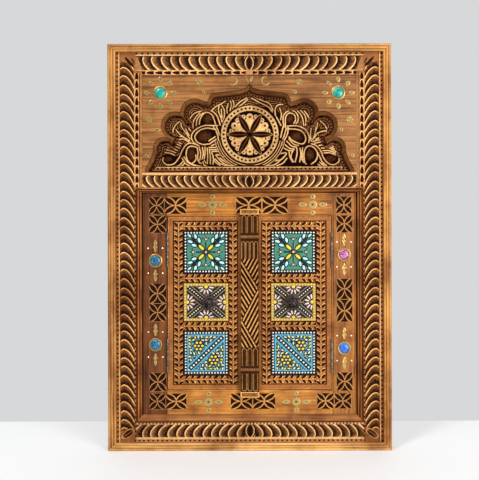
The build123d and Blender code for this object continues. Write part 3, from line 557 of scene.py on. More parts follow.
# The ridges are drawn as lines through places on the panel, left and right of the rosette.
left_strokes = (
    # top flower
    ((-137, 724), (-137, 744), (-127, 760), (-109, 767), (-89, 768), (-75, 758), (-69, 744), (-66, 734)),
    ((-128, 728), (-128, 741), (-121, 754), (-112, 763)),
    ((-121, 734), (-119, 747), (-112, 757), (-104, 763)),
    ((-114, 737), (-112, 748), (-105, 760), (-95, 764), (-85, 758), (-80, 747), (-77, 737)),
    ((-148, 744), (-146, 729), (-137, 711)),
    ((-141, 747), (-140, 732), (-133, 721)),
    # round flower
    ((-72, 734), (-86, 734), (-101, 734), (-115, 729), (-127, 720), (-132, 708), (-127, 696), (-114, 687)),
    ((-77, 725), (-95, 728), (-109, 725), (-119, 718), (-124, 708), (-119, 697), (-106, 691), (-93, 692)),
    ((-92, 699), (-77, 709)),
    ((-91, 692), (-75, 703)),
    ((-86, 688), (-72, 695)),
    # side leaves
    ((-170, 707), (-174, 722), (-167, 736), (-156, 745)),
    ((-156, 745), (-154, 731), (-145, 718), (-135, 703)),
    ((-167, 725), (-159, 715), (-149, 708)),
    ((-166, 716), (-163, 709)),
    ((-169, 705), (-154, 709), (-135, 699)),
    ((-164, 701), (-150, 703), (-137, 696)),
    # plume
    ((-177, 702), (-166, 699), (-154, 692)),
    ((-180, 696), (-169, 694), (-156, 687)),
    ((-183, 690), (-172, 688), (-158, 682)),
    ((-186, 684), (-175, 682), (-163, 677)),
    ((-189, 679), (-177, 676), (-167, 672)),
    ((-192, 673), (-180, 671), (-169, 666)),
    ((-196, 661), (-197, 653), (-188, 645), (-172, 647), (-160, 661), (-153, 677), (-144, 690), (-133, 694),
     (-119, 690)),
    # low flower
    ((-121, 685), (-133, 687), (-141, 682), (-144, 670), (-142, 658), (-135, 649), (-121, 643), (-108, 641)),
    ((-119, 684), (-117, 673), (-118, 660), (-114, 650), (-109, 648)),
    ((-153, 660), (-146, 648), (-133, 640)),
    ((-149, 663), (-140, 650), (-124, 642)),
    # stalks
    ((-114, 684), (-111, 670), (-113, 655)),
    ((-107, 684), (-105, 670), (-108, 657)),
    ((-101, 685), (-101, 671), (-103, 657)),
    ((-96, 683), (-95, 666), (-96, 647)),
    ((-91, 680), (-89, 664), (-89, 646)),
    ((-86, 673), (-82, 661), (-83, 645)),
    ((-92, 684), (-69, 684)),
    ((-88, 679), (-69, 679)),
    ((-85, 675), (-69, 675)),
    ((-77, 667), (-67, 655), (-54, 645), (-34, 642)),
    ((-74, 668), (-57, 663), (-46, 653), (-31, 644)),
    ((-67, 660), (-56, 652), (-44, 646)),
    ((-83, 661), (-77, 650), (-66, 643)),
    ((-78, 658), (-68, 648), (-52, 642)),
    # stem beside the rosette
    ((-82, 731), (-76, 722), (-72, 711), (-70, 699)),
    ((-75, 731), (-71, 722), (-68, 712)),
    # foot leaves
    ((-172, 640), (-160, 643), (-152, 652)),
    ((-166, 638), (-155, 641), (-147, 649)),
    ((-130, 648), (-122, 656), (-122, 668)),
    ((-106, 651), (-103, 644), (-94, 640)),
    ((-103, 655), (-99, 648)),
    # head leaves
    ((-85, 768), (-76, 777), (-63, 784), (-53, 790)),
    ((-69, 779), (-70, 767), (-64, 750), (-62, 741)),
    ((-63, 780), (-57, 769), (-57, 755), (-60, 741)),
    ((-64, 771), (-62, 751)),
    ((-48, 784), (-51, 773), (-50, 761)),
    ((-43, 790), (-41, 780), (-44, 767)),
    ((-38, 792), (-35, 783), (-38, 771)),
    ((-33, 776), (-22, 787), (-5, 797)),
    ((-28, 774), (-14, 784), (-3, 794)),
)
right_strokes = (
    # head leaves
    ((5, 796), (23, 786), (43, 776), (53, 764)),
    ((10, 799), (31, 790), (46, 783), (54, 768)),
    ((59, 757), (59, 772), (67, 781), (80, 780), (90, 771)),
    ((61, 754), (67, 743), (72, 733)),
    ((69, 773), (73, 759), (71, 746)),
    # small flower
    ((78, 730), (77, 753), (84, 764), (98, 768), (109, 759), (111, 746), (106, 737)),
    ((82, 730), (82, 749), (86, 759), (94, 762), (103, 757), (105, 746), (101, 738)),
    ((109, 768), (118, 757), (122, 745), (124, 733)),
    ((117, 768), (126, 757), (129, 745), (128, 733)),
    ((125, 767), (133, 756), (136, 745), (132, 735)),
    # round flower
    ((86, 732), (106, 733), (120, 729), (131, 720), (136, 706), (135, 694)),
    ((88, 726), (106, 725), (118, 721), (126, 712), (128, 701), (122, 692), (109, 694), (96, 701), (90, 708)),
    ((88, 729), (87, 716), (80, 701), (75, 689)),
    ((90, 703), (101, 691), (112, 688)),
    ((85, 698), (96, 687), (108, 684)),
    ((79, 692), (91, 682), (103, 680)),
    ((75, 685), (86, 678), (97, 676)),
    # side leaves
    ((144, 746), (141, 730), (139, 711), (141, 697)),
    ((146, 745), (151, 732), (149, 714), (144, 701)),
    ((156, 744), (154, 730), (150, 720)),
    ((161, 744), (170, 736), (177, 725)),
    ((147, 705), (157, 717), (176, 722)),
    ((151, 702), (164, 709), (177, 720)),
    # plume
    ((144, 697), (160, 701), (176, 700), (185, 694)),
    ((148, 693), (165, 696), (182, 692), (192, 685)),
    ((158, 688), (174, 689), (194, 680)),
    ((164, 682), (180, 682), (198, 674)),
    ((167, 676), (182, 676), (200, 669)),
    ((170, 671), (184, 671), (200, 665)),
    ((141, 692), (153, 687), (163, 674), (168, 661), (177, 649), (191, 644), (203, 651), (204, 662)),
    # low flower
    ((126, 649), (124, 668), (128, 682), (138, 687), (149, 681), (155, 668), (151, 654), (140, 645)),
    ((152, 677), (160, 662), (166, 650), (176, 642)),
    # stalks
    ((90, 674), (92, 662), (98, 650)),
    ((101, 679), (96, 670), (95, 660), (101, 650)),
    ((108, 682), (108, 668), (104, 650)),
    ((115, 682), (117, 668), (114, 650)),
    ((121, 683), (120, 668), (123, 649)),
    ((58, 657), (67, 668), (83, 672)),
    ((60, 653), (75, 658), (85, 671)),
    ((40, 645), (55, 652), (63, 658)),
    ((36, 642), (56, 644), (72, 656), (84, 668)),
    ((62, 642), (76, 648), (86, 660)),
    # stem beside the rosette
    ((84, 728), (81, 716), (76, 702)),
    ((77, 731), (74, 720), (71, 706)),
    # foot leaves
    ((160, 650), (168, 643), (178, 638)),
    ((156, 645), (164, 640), (172, 637)),
    ((129, 646), (120, 655), (117, 664)),
)
buds = ((-94, 749, 12, 13), (-102, 709, 19, 14.5), (-185, 658, 12, 7), (-131, 669, 11, 16),
        (93, 749, 8, 12), (108, 709, 16, 12.5), (138, 667, 10, 15), (185, 658, 15, 9))


def nearest(places, x, z):
    """How far each point lies from the nearest of the given places, and which one that is."""
    tree = KDTree(len(places))
    for number, (px, pz) in enumerate(places):
        tree.insert((px, 0, pz), number)
    tree.balance()
    found = [tree.find((px, 0, pz)) for px, pz in zip(x.ravel().tolist(), z.ravel().tolist())]
    return (np.array([item[2] for item in found]).reshape(x.shape),
            np.array([item[1] for item in found]).reshape(x.shape))


def smooth_line(points):
    """Places about a millimetre apart along a smooth line through the given points."""
    ends = [tuple(2 * a - b for a, b in zip(points[0], points[1])),
            tuple(2 * a - b for a, b in zip(points[-1], points[-2]))]
    run = np.array([ends[0], *points, ends[1]], dtype=float)
    line = []
    for before, start, end, after in zip(run, run[1:], run[2:], run[3:]):
        count = max(2, int(np.hypot(*(end - start)) / 0.8))
        t = np.linspace(0, 1, count, endpoint=False)[:, None]
        line.append(start + 0.5 * ((end - before) * t + (2 * before - 5 * start + 4 * end - after) * t ** 2
                                   + (3 * start - before - 3 * end + after) * t ** 3))
    return np.vstack(line)


def arch_line():
    """Places a millimetre apart along the inner edge of the arch, in order from left to right."""
    bm = merged_copy("arch_spandrel")
    bm.normal_update()
    places = []
    for edge in bm.edges:
        ends = [vert.co for vert in edge.verts]
        flat = [abs(polygon.normal.y) > 0.99 for polygon in edge.link_faces]
        on_back = all(abs(end.y - tympanum_face) < 2e-4 for end in ends)
        inside = all(abs(end.x) < 0.2400 and 0.6265 < end.z < 0.842 for end in ends)
        if on_back and inside and sum(flat) == 1:
            for step in np.linspace(0, 1, max(2, int(edge.calc_length() * 1000) + 1)):
                place = ends[0].lerp(ends[1], step) * 1000
                places.append((round(place.x, 1), round(place.z, 1)))
    bm.free()
    return sorted(set(places), key=lambda place: -atan2(place[1] - 640, place[0]))


arch_places = arch_line()


def tympanum_height(x, z):
    """Carving of the arched panel, on its dark ground."""
    stipple = np.random.default_rng(3).standard_normal(x.shape)
    height = 0.05 + 0.05 * np.abs(stipple)
    for bud_x, bud_z, half_x, half_z in buds:
        off = np.hypot((x - bud_x) / half_x, (z - bud_z) / half_z)
        height = np.where(off < 1, 0.16 + 0.2 * (1 - off ** 2) + 0.08 * stipple, height)
    lines = [smooth_line(stroke) for stroke in left_strokes + right_strokes]
    reach, _ = nearest(np.vstack(lines), x, z)
    depth, _ = nearest(arch_places, x, z)
    foot = z - 626
    near_bud = np.min([np.hypot((x - bud_x) / (half_x + 3.6), (z - bud_z) / (half_z + 3.6))
                       for bud_x, bud_z, half_x, half_z in buds], axis=0) < 1
    follow = (depth - 10.6) / line_gap
    follow = (follow - np.round(follow)) * line_gap
    free = (reach > 3.4) & (depth < 26) & ~near_bud & (foot > 13)
    height = np.where(free, np.maximum(height, 0.86 * rounded(follow, 1.35)), height)
    height = np.maximum(height, rounded(reach, 2.3))
    height = rosette_height(x, z, height, stipple)
    edge = np.minimum(depth, (foot - 1) * 0.75)
    level = edge < depth
    band = np.where(edge < np.where(level, 8.8, 7.2), np.where(level, 0.76, 0.68), height)
    band = np.where(level & (edge > 7.4) & (edge < 10.2), np.maximum(0.25, rounded(edge - 8.8, 1.5)), band)
    band = np.where(level & (edge > 10.2) & (edge < 11.2), np.minimum(band, 0.1), band)
    band = np.where(~level & (edge > 7.2) & (edge < 8.2), 0.05, band)
    band = np.where(depth < 1.6, 0.25, band)
    band = np.where(foot < 5.5, 0.3, band)
    drilled, last = [], None
    for px, pz in arch_places:
        inward = np.hypot(px, pz - 690)
        place = (px * (1 - dot_inset / inward), pz - (pz - 690) * dot_inset / inward)
        if last is None or np.hypot(place[0] - last[0], place[1] - last[1]) > dot_pitch:
            drilled.append(place)
            last = place
    drilled += [(place, 635.6) for place in np.arange(-218, 219, 9.6)]
    off_dot, _ = nearest(drilled, x, z)
    return np.minimum(band, hollow(off_dot, dot_radius))


def rosette_height(x, z, height, stipple):
    """The rosette: a dotted ring round six dark petals, with light lobes between them."""
    dx, dz = x - rosette_x, z - rosette_z
    radius, turn = np.hypot(dx, dz), np.arctan2(dz, dx)
    for ring in (70.5, 75.5, 80.5):
        side = np.abs(np.abs(turn + pi / 2) - 0.62) < 0.75
        height = np.where(side & (np.abs(radius - ring) < 2.0) & (dz < 20) & (dz > -70),
                          np.maximum(0.05, rounded(radius - ring, 1.5)), height)
    height = np.where(radius < 68, 0.05, height)
    height = np.where((radius > 53.5) & (radius < 65.8), 0.9, height)
    dot_turn, sixth = pi / 20, pi / 3
    off_dot = (turn - np.round(turn / dot_turn) * dot_turn) * radius
    height = np.minimum(height, hollow(np.hypot(off_dot, radius - 59.5), dot_radius))
    between = np.abs(turn - (np.floor(turn / sixth) + 0.5) * sixth)

    def off_lobe(out, aside):
        """How far a place lies from the middle of a lobe, or of the lobes beside it."""
        return np.hypot(radius * np.cos(between - aside) - out, radius * np.sin(between - aside))

    lobes = (off_lobe(39.5, 0) < 8.4) | (off_lobe(42.5, 0.33) < 5.2)
    height = np.where((radius < 36) | lobes, 0.97, height)
    for out, aside, hole in ((39.5, 0, 2.6), (43.5, 0.33, 1.5)):
        height = np.minimum(height, hollow(off_lobe(out, aside), hole))
    petal_turn = turn - np.round(turn / sixth) * sixth
    along, across = radius * np.cos(petal_turn), np.abs(radius * np.sin(petal_turn))
    half = 7.0 * np.sin(pi * np.clip(along / 51.5, 0, 1)) ** 0.75
    in_petal = (radius < 53) & (across < half + 1.8) & (along < 52)
    dished = 0.16 + 0.05 * stipple + 0.28 * rounded(across, 1.6)
    petal = np.where(across < half, dished, rounded(across - half - 0.6, 1.5))
    height = np.where(in_petal, petal, height)
    return np.where(radius < 4.5, 0.05, height)


tympanum_wood = carved_wood("tympanum_wood", tympanum_face, tympanum_depth, (0.66, 0.41, 0.16),
                            (0.145, 0.046, 0.012), deep=(0.006, 0.0015, 0.0008))
tympanum_strip = ((-0.2395, 0.2395), (0.6262, 0.8300), tympanum_height)
carved_board("carved_tympanum", "frame", tympanum_face, tympanum_depth, (tympanum_strip,),
             (tympanum_wood, plain_wood_x), cell=0.00106, thick=0.005)

# Reveals and sill. Sloping strips of dark-stained wood lead from the carved frame in to the door frame, and
# a plain light sill closes the foot of the opening.
reveal_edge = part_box("left_reveal")[0].y
for node, along in (("left_reveal", "z"), ("right_reveal", "z"), ("head_reveal", "x")):
    finish_node(node, stained_wood(node + "_wood", along, (0.52, 0.172, 0.036), (0.15, 0.042, 0.009),
                                   face=reveal_edge, drop=0.016, cut=(0.014, 0.005, 0.002),
                                   stain_and_shade_depths=((0, 0.9), (0.05, 0.7), (0.10, 0.0), (0.26, 0.0), (0.32, 1),
                                             (0.40, 0.9), (0.47, 0.25), (0.60, 0.3), (0.66, 1), (0.80, 1),
                                             (0.88, 0.6))))
finish_node("sill", stained_wood("sill_wood", "x", (0.41, 0.158, 0.038), (0.17, 0.058, 0.013),
                                 face=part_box("sill")[0].y, drop=0.016, cut=(0.06, 0.02, 0.006),
                                 stain_and_shade_depths=((0, 0.9), (0.06, 0.1), (0.75, 0.25), (0.92, 1))))

# Door frame. Two jambs, a head board and a foot board of red-brown wood, chip carved with squares that
# hold a flower of four pointed petals. Between the squares the grain of the plain wood shows.
surround_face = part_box("foot_board")[0].y
chip_depth = 0.0022
opening_half, opening_low, opening_high = 0.1875, 0.133, 0.528
outer_x, corner_x, wide_x = 229.3, 193.9, 142.5
head_rows, foot_rows = (532.5, 572.5), (88.5, 125)
left_column, right_column = (-outer_x, -190), (197, 234)
chip_squares = [(-outer_x, -corner_x, *head_rows), (-corner_x, -wide_x, *head_rows), (-32, 28, *head_rows),
                (28, 88, *head_rows), (corner_x + 2, 233, *head_rows),
                (-outer_x, -189.7, 489, 530), (*right_column, 489, 530),
                (*left_column, 329.6, 375), (*left_column, 288, 329.6),
                (*right_column, 337.8, 385.7), (*right_column, 286, 337.8),
                (*left_column, 129, 173), (*right_column, 129, 173),
                (-outer_x, -192.1, *foot_rows), (-192.1, -143.3, *foot_rows), (-45, 6, *foot_rows),
                (6, 58, *foot_rows), (152, 191.5, *foot_rows), (191.5, 231, *foot_rows)]


def chip_flower(x, z, left, right, foot, head):
    """A chip-carved square: four petals on its diagonals with sharp ridges, and dark chips between them."""
    u = (2 * x - left - right) / (right - left)
    v = (2 * z - foot - head) / (head - foot)
    along = (np.abs(u) + np.abs(v)) / 2
    across = np.abs(np.abs(u) - np.abs(v)) / 2
    half = 0.20 * np.sin(pi * np.clip(along, 0, 1)) ** 0.75
    ridge = rounded(across - half, 0.072)
    petal = 0.22 + 0.2 * np.clip(across / (half + 1e-6), 0, 1) ** 2
    chip = 0.36 * np.clip((across - half) / 0.5, 0, 1) ** 1.5
    edge = np.maximum(np.abs(u), np.abs(v))
    height = np.maximum(np.where(across < half, petal, chip), ridge)
    height = np.where(edge > 0.95, 0.93, height)
    return np.where(edge < 1, height, np.nan)


def surround_height(x, z):
    """The face of the door frame: plain, with lightly scored edges, and the chip-carved squares."""
    plain = np.full(x.shape, 0.86)
    jamb = scored(scored(plain, np.abs(x) - 190, 0.5, 0.5), np.abs(x) - 238.5, 0.6, 0.45)
    board = scored(scored(plain, z - 530.4, 0.5, 0.55), z - 575.5, 0.5, 0.55)
    height = np.where((np.abs(x) > opening_half * 1000) & (z < 579), jamb, board)
    for square in chip_squares:
        flower = chip_flower(x, z, *square)
        height = np.where(np.isnan(flower), height, flower)
    return height


# The left jamb is given far darker colours than the right one, as painted shade on that side of the opening.
for node, along, light, dark, pale in (
        ("left_jamb", "z", (0.165, 0.049, 0.009), (0.046, 0.012, 0.003), (0.44, 0.195, 0.052)),
        ("right_jamb", "z", (0.38, 0.145, 0.026), (0.15, 0.048, 0.009), (0.45, 0.195, 0.048)),
        ("head_board", "x", (0.44, 0.165, 0.025), (0.17, 0.054, 0.008), (0.55, 0.26, 0.07)),
        ("foot_board", "x", (0.50, 0.20, 0.033), (0.20, 0.066, 0.010), (0.55, 0.26, 0.07))):
    low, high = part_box(node)
    wood = stained_wood(node + "_wood", along, light, dark, face=surround_face + 0.0003, drop=0.0012,
                        cut=(0.013, 0.005, 0.002), stain_and_shade_depths=((0, 0), (0.12, 0.1), (0.8, 1)), wear_and_highlight=pale)
    x_range, z_range = {
        "left_jamb": ((low.x, -opening_half), (low.z, high.z)),
        "right_jamb": ((opening_half, high.x), (low.z, high.z)),
        "head_board": ((-opening_half, opening_half), (opening_high, high.z)),
        "foot_board": ((-opening_half, opening_half), (low.z, opening_low))}[node]
    carved_board(node, "frame", surround_face, chip_depth, ((x_range, z_range, surround_height),),
                 (wood, plain_wood_z if along == "z" else plain_wood_x), cell=0.0007)

# Stones. Domed glass cabochons: two turquoise ones in the top corners of the spandrel, two of crackled
# blue, one of crackled pink and one of deep blue on the jambs. They sit in brass rims on the wood.
stone_side, stone_height = 0.0012, 0.005


def islands(node):
    """The middle of the back, half width and half height of each separate solid in a CAD piece."""
    bm = merged_copy(node)
    waiting, found = set(bm.verts), []
    while waiting:
        group, edge = set(), [waiting.pop()]
        while edge:
            vert = edge.pop()
            group.add(vert)
            for link_edge in vert.link_edges:
                other = link_edge.other_vert(vert)
                if other in waiting:
                    waiting.discard(other)
                    edge.append(other)
        x, y, z = ([vert.co[axis] for vert in group] for axis in range(3))
        found.append((Vector(((min(x) + max(x)) / 2, max(y), (min(z) + max(z)) / 2)),
                      (max(x) - min(x)) / 2, (max(z) - min(z)) / 2))
    bm.free()
    return sorted(found, key=lambda item: (round(item[0].x, 3), item[0].z))


def lace(bm, rows):
    """Faces from each ring of corners to the next one, where a ring may be a single point."""
    for below, above in zip(rows, rows[1:]):
        count = max(len(below), len(above))
        for number in range(count):
            after = (number + 1) % count
            corners = [below[number], below[after]] if len(below) > 1 else list(below)
            corners += [above[after], above[number]] if len(above) > 1 else list(above)
            bm.faces.new(corners)


def add_turned(bm, centre, rings, sides=40, lobes=0):
    """A closed piece turned about a line out of the wall. Each ring is (radius, height, lobe depth, twist)."""
    rows = []
    for ring in rings:
        radius, out, lobe, twist = (*ring, 0, 0)[:4]
        row = []
        for number in range(sides if radius else 1):
            turn = 2 * pi * number / sides
            reach = radius * (1 - lobe + lobe * abs(cos(lobes * (turn + twist) / 2)) ** 0.7)
            row.append(bm.verts.new(centre + Vector((reach * cos(turn), -out, reach * sin(turn)))))
        rows.append(row)
    lace(bm, rows)


def finish_mesh(bm, name, body, finish, node, angle=40):
    """Turns built geometry into a finished piece on a body, in place of a CAD piece."""
    bmesh.ops.recalc_face_normals(bm, faces=bm.faces)
    mesh = smooth_mesh(bm, name, angle)
    mesh.materials.append(finish)
    fit_piece(put_in_scene(name, mesh), body, node)


def dimmed(tree, colour, share):
    """A colour made darker or lighter by a share."""
    return add_node(tree, "ShaderNodeVectorMath", {"Vector": colour, "Scale": share},
                    operation="SCALE").outputs["Vector"]


def stone_glass(name, pale, deep, crackle):
    """Glass of an uneven colour; crackled glass has a net of fine dark cracks inside."""
    material, tree, shader = new_material(name)
    place = object_places(tree)
    cloud = noise(tree, place, 260 if crackle else 130, 4)
    colour = ramp(tree, cloud, ((0.34, deep), (0.62, pale)))
    if crackle:
        cells = add_node(tree, "ShaderNodeTexVoronoi", {"Vector": place, "Scale": 250},
                         feature="DISTANCE_TO_EDGE")
        colour = dimmed(tree, colour, ranged(tree, cells.outputs["Distance"], 0.04, 1, 0, 0.36))
    set_inputs(tree, shader, {
        "Base Color": colour, "Roughness": ranged(tree, cloud, 0.22, 0.40), "Coat Weight": 0.12})
    return material


for node, slot, pale, deep, crackle in (
        ("turquoise_cabochons", "turquoise_glass", (0.006, 0.33, 0.27), (0.002, 0.12, 0.10), False),
        ("blue_cabochons", "blue_glass", (0.04, 0.38, 0.66), (0.008, 0.11, 0.25), True),
        ("pink_cabochon", "pink_glass", (1.0, 0.29, 0.68), (0.78, 0.13, 0.46), True),
        ("deep_blue_cabochon", "deep_blue_glass", (0.03, 0.16, 0.62), (0.01, 0.06, 0.30), False)):
    stones = bmesh.new()
    for centre, radius, _ in islands(node):
        radius *= 0.95
        dome = [(radius * cos(t), stone_side + (stone_height - stone_side) * sin(t))
                for t in np.radians((12, 26, 40, 54, 68, 80))]
        add_turned(stones, centre, [(0, 0), (radius, 0), (radius, stone_side), *dome, (0, stone_height)])
    finish_mesh(stones, node + "_domes", "frame", stone_glass(node + "_glass", pale, deep, crackle), node)

# Brass. Rims round the stones, two of them roped, and stamped sheet inlays: petals round the turquoise,
# suns, eyelets, crescents and leaves on the spandrel, flowers and fleurs on the door frame.
rim_inside, rope_bead_size = 0.0121, 0.0018
sheet_rise = 0.0006
crescent_radius, crescent_half = 0.0092, 0.0021


def aged_brass(name, face, height, bright):
    """Old brass, bright on raised rims and brown with tarnish where it lies low against the wood."""
    material, tree, shader = new_material(name)
    place = object_places(tree)
    raised = ranged(tree, front_to_back(tree, place), 0, 1, face, face - height)
    tarnish = noise(tree, place, 420, 4)
    wear_and_depth = weighed(tree, tarnish, 0.5, raised)
    set_inputs(tree, shader, {
        "Base Color": ramp(tree, wear_and_depth, (
            (0.35, (0.030, 0.018, 0.007)), (0.75, (0.17, 0.11, 0.03)), (0.9, bright))),
        "Metallic": 0.75, "Roughness": ranged(tree, wear_and_depth, 0.62, 0.34),
        "Normal": bumped(tree, tarnish, 0.2, 0.0002)})
    return material


def add_stamped(bm, centre, outline, hole, turn=0.0, height=sheet_rise):
    """A stamped sheet piece with a raised rim and a dished middle with a hole punched in it."""
    rows = []
    for share, out in ((1, 0), (1, 0.55), (0.86, 1), (0.66, 0.75), (0.5, 0.7), (hole, 0.85), (hole * 0.8, 0.12)):
        rows.append([bm.verts.new(centre + Vector((
            share * (x * cos(turn) - z * sin(turn)), -out * height,
            share * (x * sin(turn) + z * cos(turn))))) for x, z in outline])
    lace(bm, rows)
    bm.faces.new(rows[0][::-1])
    bm.faces.new(rows[-1])


def add_crescent(bm, hub, side):
    """A crescent of sheet, thick in the middle, that opens to the right where side is 1."""
    rows = []
    for t in np.linspace(radians(70), radians(330), 16):
        half = crescent_half * sin(pi * (t - radians(50)) / radians(300)) ** 0.5
        rows.append([])
        for off, out in ((-1, 0), (-1, 0.5), (-0.4, 1), (0.4, 1), (1, 0.5), (1, 0)):
            reach = crescent_radius + off * half
            place = hub + Vector((side * reach * cos(t), -out * sheet_rise, reach * sin(t)))
            rows[-1].append(bm.verts.new(place))
    lace(bm, rows)
    bm.faces.new(rows[0])
    bm.faces.new(rows[-1][::-1])


def even_turns(count):
    """Angles spaced evenly all round."""
    return np.linspace(0, 2 * pi, count, endpoint=False)


def round_outline(radius, points, rays=0, cut=0.0):
    """A round outline, or a star when it has rays."""
    outline = []
    for t in even_turns(points):
        reach = radius * (1 - cut + cut * abs(cos(rays * t / 2)) ** 0.8)
        outline.append((reach * cos(t), reach * sin(t)))
    return outline


def leaf_outline(length, width, points=16):
    """A leaf pointed at both ends, lying along x."""
    return [(length / 2 * cos(t), width / 2 * sin(t) * abs(sin(t)) ** 0.35) for t in even_turns(points)]


def is_round(half_x, half_z):
    """Whether a piece is as wide as it is high."""
    return abs(half_x - half_z) < 0.0003


def scattered(name, shape, size, places, turns, finish):
    """Copies of one small shape at the given places, each turned as told, as one plain mesh."""
    tree = bpy.data.node_groups.new(name + "_placing", "GeometryNodeTree")
    tree.interface.new_socket("Geometry", in_out="INPUT", socket_type="NodeSocketGeometry")
    shape_input = tree.interface.new_socket("Shape", in_out="INPUT", socket_type="NodeSocketObject")
    size_input = tree.interface.new_socket("Size", in_out="INPUT", socket_type="NodeSocketFloat")
    tree.interface.new_socket("Geometry", in_out="OUTPUT", socket_type="NodeSocketGeometry")
    given = tree.nodes.new("NodeGroupInput").outputs
    chosen = add_node(tree, "GeometryNodeObjectInfo", {"Object": given["Shape"]})
    turned = add_node(tree, "GeometryNodeInputNamedAttribute", {"Name": "turn"}, data_type="FLOAT_VECTOR")
    placed = add_node(tree, "GeometryNodeInstanceOnPoints", {
        "Points": given["Geometry"], "Instance": chosen.outputs["Geometry"],
        "Rotation": turned.outputs["Attribute"], "Scale": given["Size"]})
    real = add_node(tree, "GeometryNodeRealizeInstances", {"Geometry": placed.outputs["Instances"]})
    painted = add_node(tree, "GeometryNodeSetMaterial", {
        "Geometry": real.outputs["Geometry"], "Material": finish})
    add_node(tree, "NodeGroupOutput", {"Geometry": painted.outputs["Geometry"]})
    points = bpy.data.meshes.new(name + "_places")
    points.from_pydata([tuple(place) for place in places], [], [])
    layer = points.attributes.new("turn", "FLOAT_VECTOR", "POINT")
    layer.data.foreach_set("vector", [part for turn in turns for part in turn])
    base = put_in_scene(name + "_places", points)
    placing = base.modifiers.new("placing", "NODES")
    placing.node_group = tree
    placing[shape_input.identifier] = shape
    placing[size_input.identifier] = size
    depsgraph = bpy.context.evaluated_depsgraph_get()
    mesh = bpy.data.meshes.new_from_object(base.evaluated_get(depsgraph))
    mesh.name = name
    bpy.data.objects.remove(base)
    return mesh


def small_shape(name, build):
    """A small shape kept out of the scene, for copying."""
    bm = bmesh.new()
    build(bm)
    bmesh.ops.recalc_face_normals(bm, faces=bm.faces)
    return bpy.data.objects.new(name, smooth_mesh(bm, name, 40))


rim_brass = aged_brass("rim_brass", surround_face, 0.0018, (0.36, 0.22, 0.055))
rims = bmesh.new()
bead = small_shape("rope_bead", lambda bm: add_turned(bm, Vector((0, 0, 0)), (
    (0, 0), (0.8, 0), (1, 0.45), (0.7, 0.95), (0, 1.1)), sides=8))
rope_places = []
for centre, radius, _ in islands("cabochon_bezels"):
    roped = centre.z < 0.3
    outside = radius - (0.0012 if roped else 0.0004)
    crown = (rim_inside + outside) / 2
    rows = [[rims.verts.new(centre + Vector((reach * cos(t), -out, reach * sin(t)))) for t in even_turns(48)]
            for reach, out in ((rim_inside, 0), (outside, 0), (outside, 0.0008), (crown + 0.0004, 0.0016),
                               (crown - 0.0004, 0.0017), (rim_inside, 0.0014))]
    lace(rims, rows + rows[:1])
    if roped:
        rope_radius = radius - 0.0019
        rope_places += [centre + Vector((rope_radius * cos(t), 0, rope_radius * sin(t))) for t in even_turns(22)]
rope_turns = [(0, 0, 0)] * len(rope_places)
join_in(rims, scattered("rope_beads", bead, rope_bead_size, rope_places, rope_turns, rim_brass))
finish_mesh(rims, "stone_rims", "frame", rim_brass, "cabochon_bezels")

spandrel_brass = aged_brass("spandrel_brass", spandrel_face, sheet_rise, (0.40, 0.27, 0.085))
stone_middles = [centre for centre, _, _ in islands("turquoise_cabochons")]
inlays = bmesh.new()
petal_places, petal_turns = [], []
for centre, half_x, half_z in islands("spandrel_inlays"):
    away = centre - min(stone_middles, key=lambda stone: (stone - centre).length)
    if 0.02 < Vector((away.x, away.z)).length < 0.034 and max(half_x, half_z) < 0.0075:
        petal_places.append(centre)
        petal_turns.append((0, -atan2(away.z, away.x), 0))
    elif is_round(half_x, half_z) and half_x < 0.005:
        add_stamped(inlays, centre, round_outline(half_x, 16), 0.4)
    elif is_round(half_x, half_z) and half_x < 0.008:
        rays = 12 if centre.z > 0.8 else 8
        add_stamped(inlays, centre, round_outline(half_x * 1.45, rays * 4, rays, 0.55), 0.12)
    elif abs(centre.x) > 0.02:
        side = 1 if centre.x > 0 else -1
        add_crescent(inlays, centre + Vector((side * 0.0012, 0, 0.001)), side)
    else:
        lean = radians(62) if centre.x > 0 else radians(118)
        add_stamped(inlays, centre, leaf_outline(0.0135, 0.0042), 0.12, turn=lean)
petal = small_shape("brass_petal", lambda bm: add_stamped(
    bm, Vector((0, 0, 0)), leaf_outline(14.6, 9.4, 12), 0.2, height=sheet_rise * 1000))
join_in(inlays, scattered("stone_petals", petal, 0.001, petal_places, petal_turns, spandrel_brass))
finish_mesh(inlays, "spandrel_inlay_work", "frame", spandrel_brass, "spandrel_inlays")

board_brass = aged_brass("board_brass", surround_face, sheet_rise, (0.46, 0.31, 0.10))
work = bmesh.new()
fleur_half = ((0, 15), (2.0, 11.5), (3.6, 7.5), (3.9, 4.5), (2.0, 1.5), (2.6, 0), (5.3, -2.5), (4.6, -5.5),
              (2.2, -6.5), (2.8, -9.5), (1.9, -13), (0, -15))
fleur_outline = [(x / 1000, z / 1000) for x, z in fleur_half]
fleur_outline += [(-x, z) for x, z in fleur_outline[-2:0:-1]]
jamb_stones = [stone for name in ("blue_cabochons", "pink_cabochon", "deep_blue_cabochon")
               for stone, _, _ in islands(name)]
for centre, half_x, half_z in islands("door_frame_inlays"):
    if abs(centre.x) > 0.19:
        above = any(0 < centre.z - stone.z < 0.04 for stone in jamb_stones if (stone.x > 0) == (centre.x > 0))
        add_stamped(work, centre, fleur_outline[::-1], 0.1, turn=0 if above else pi)
    elif is_round(half_x, half_z):
        flower = round_outline(half_x, 32, 8, 0.07) if half_x > 0.008 else round_outline(half_x, 20)
        add_stamped(work, centre, flower, 0.26)
    else:
        add_stamped(work, centre, leaf_outline(2 * half_x, 2 * half_z, 20), 0.2)
finish_mesh(work, "door_frame_inlay_work", "frame", board_brass, "door_frame_inlays")
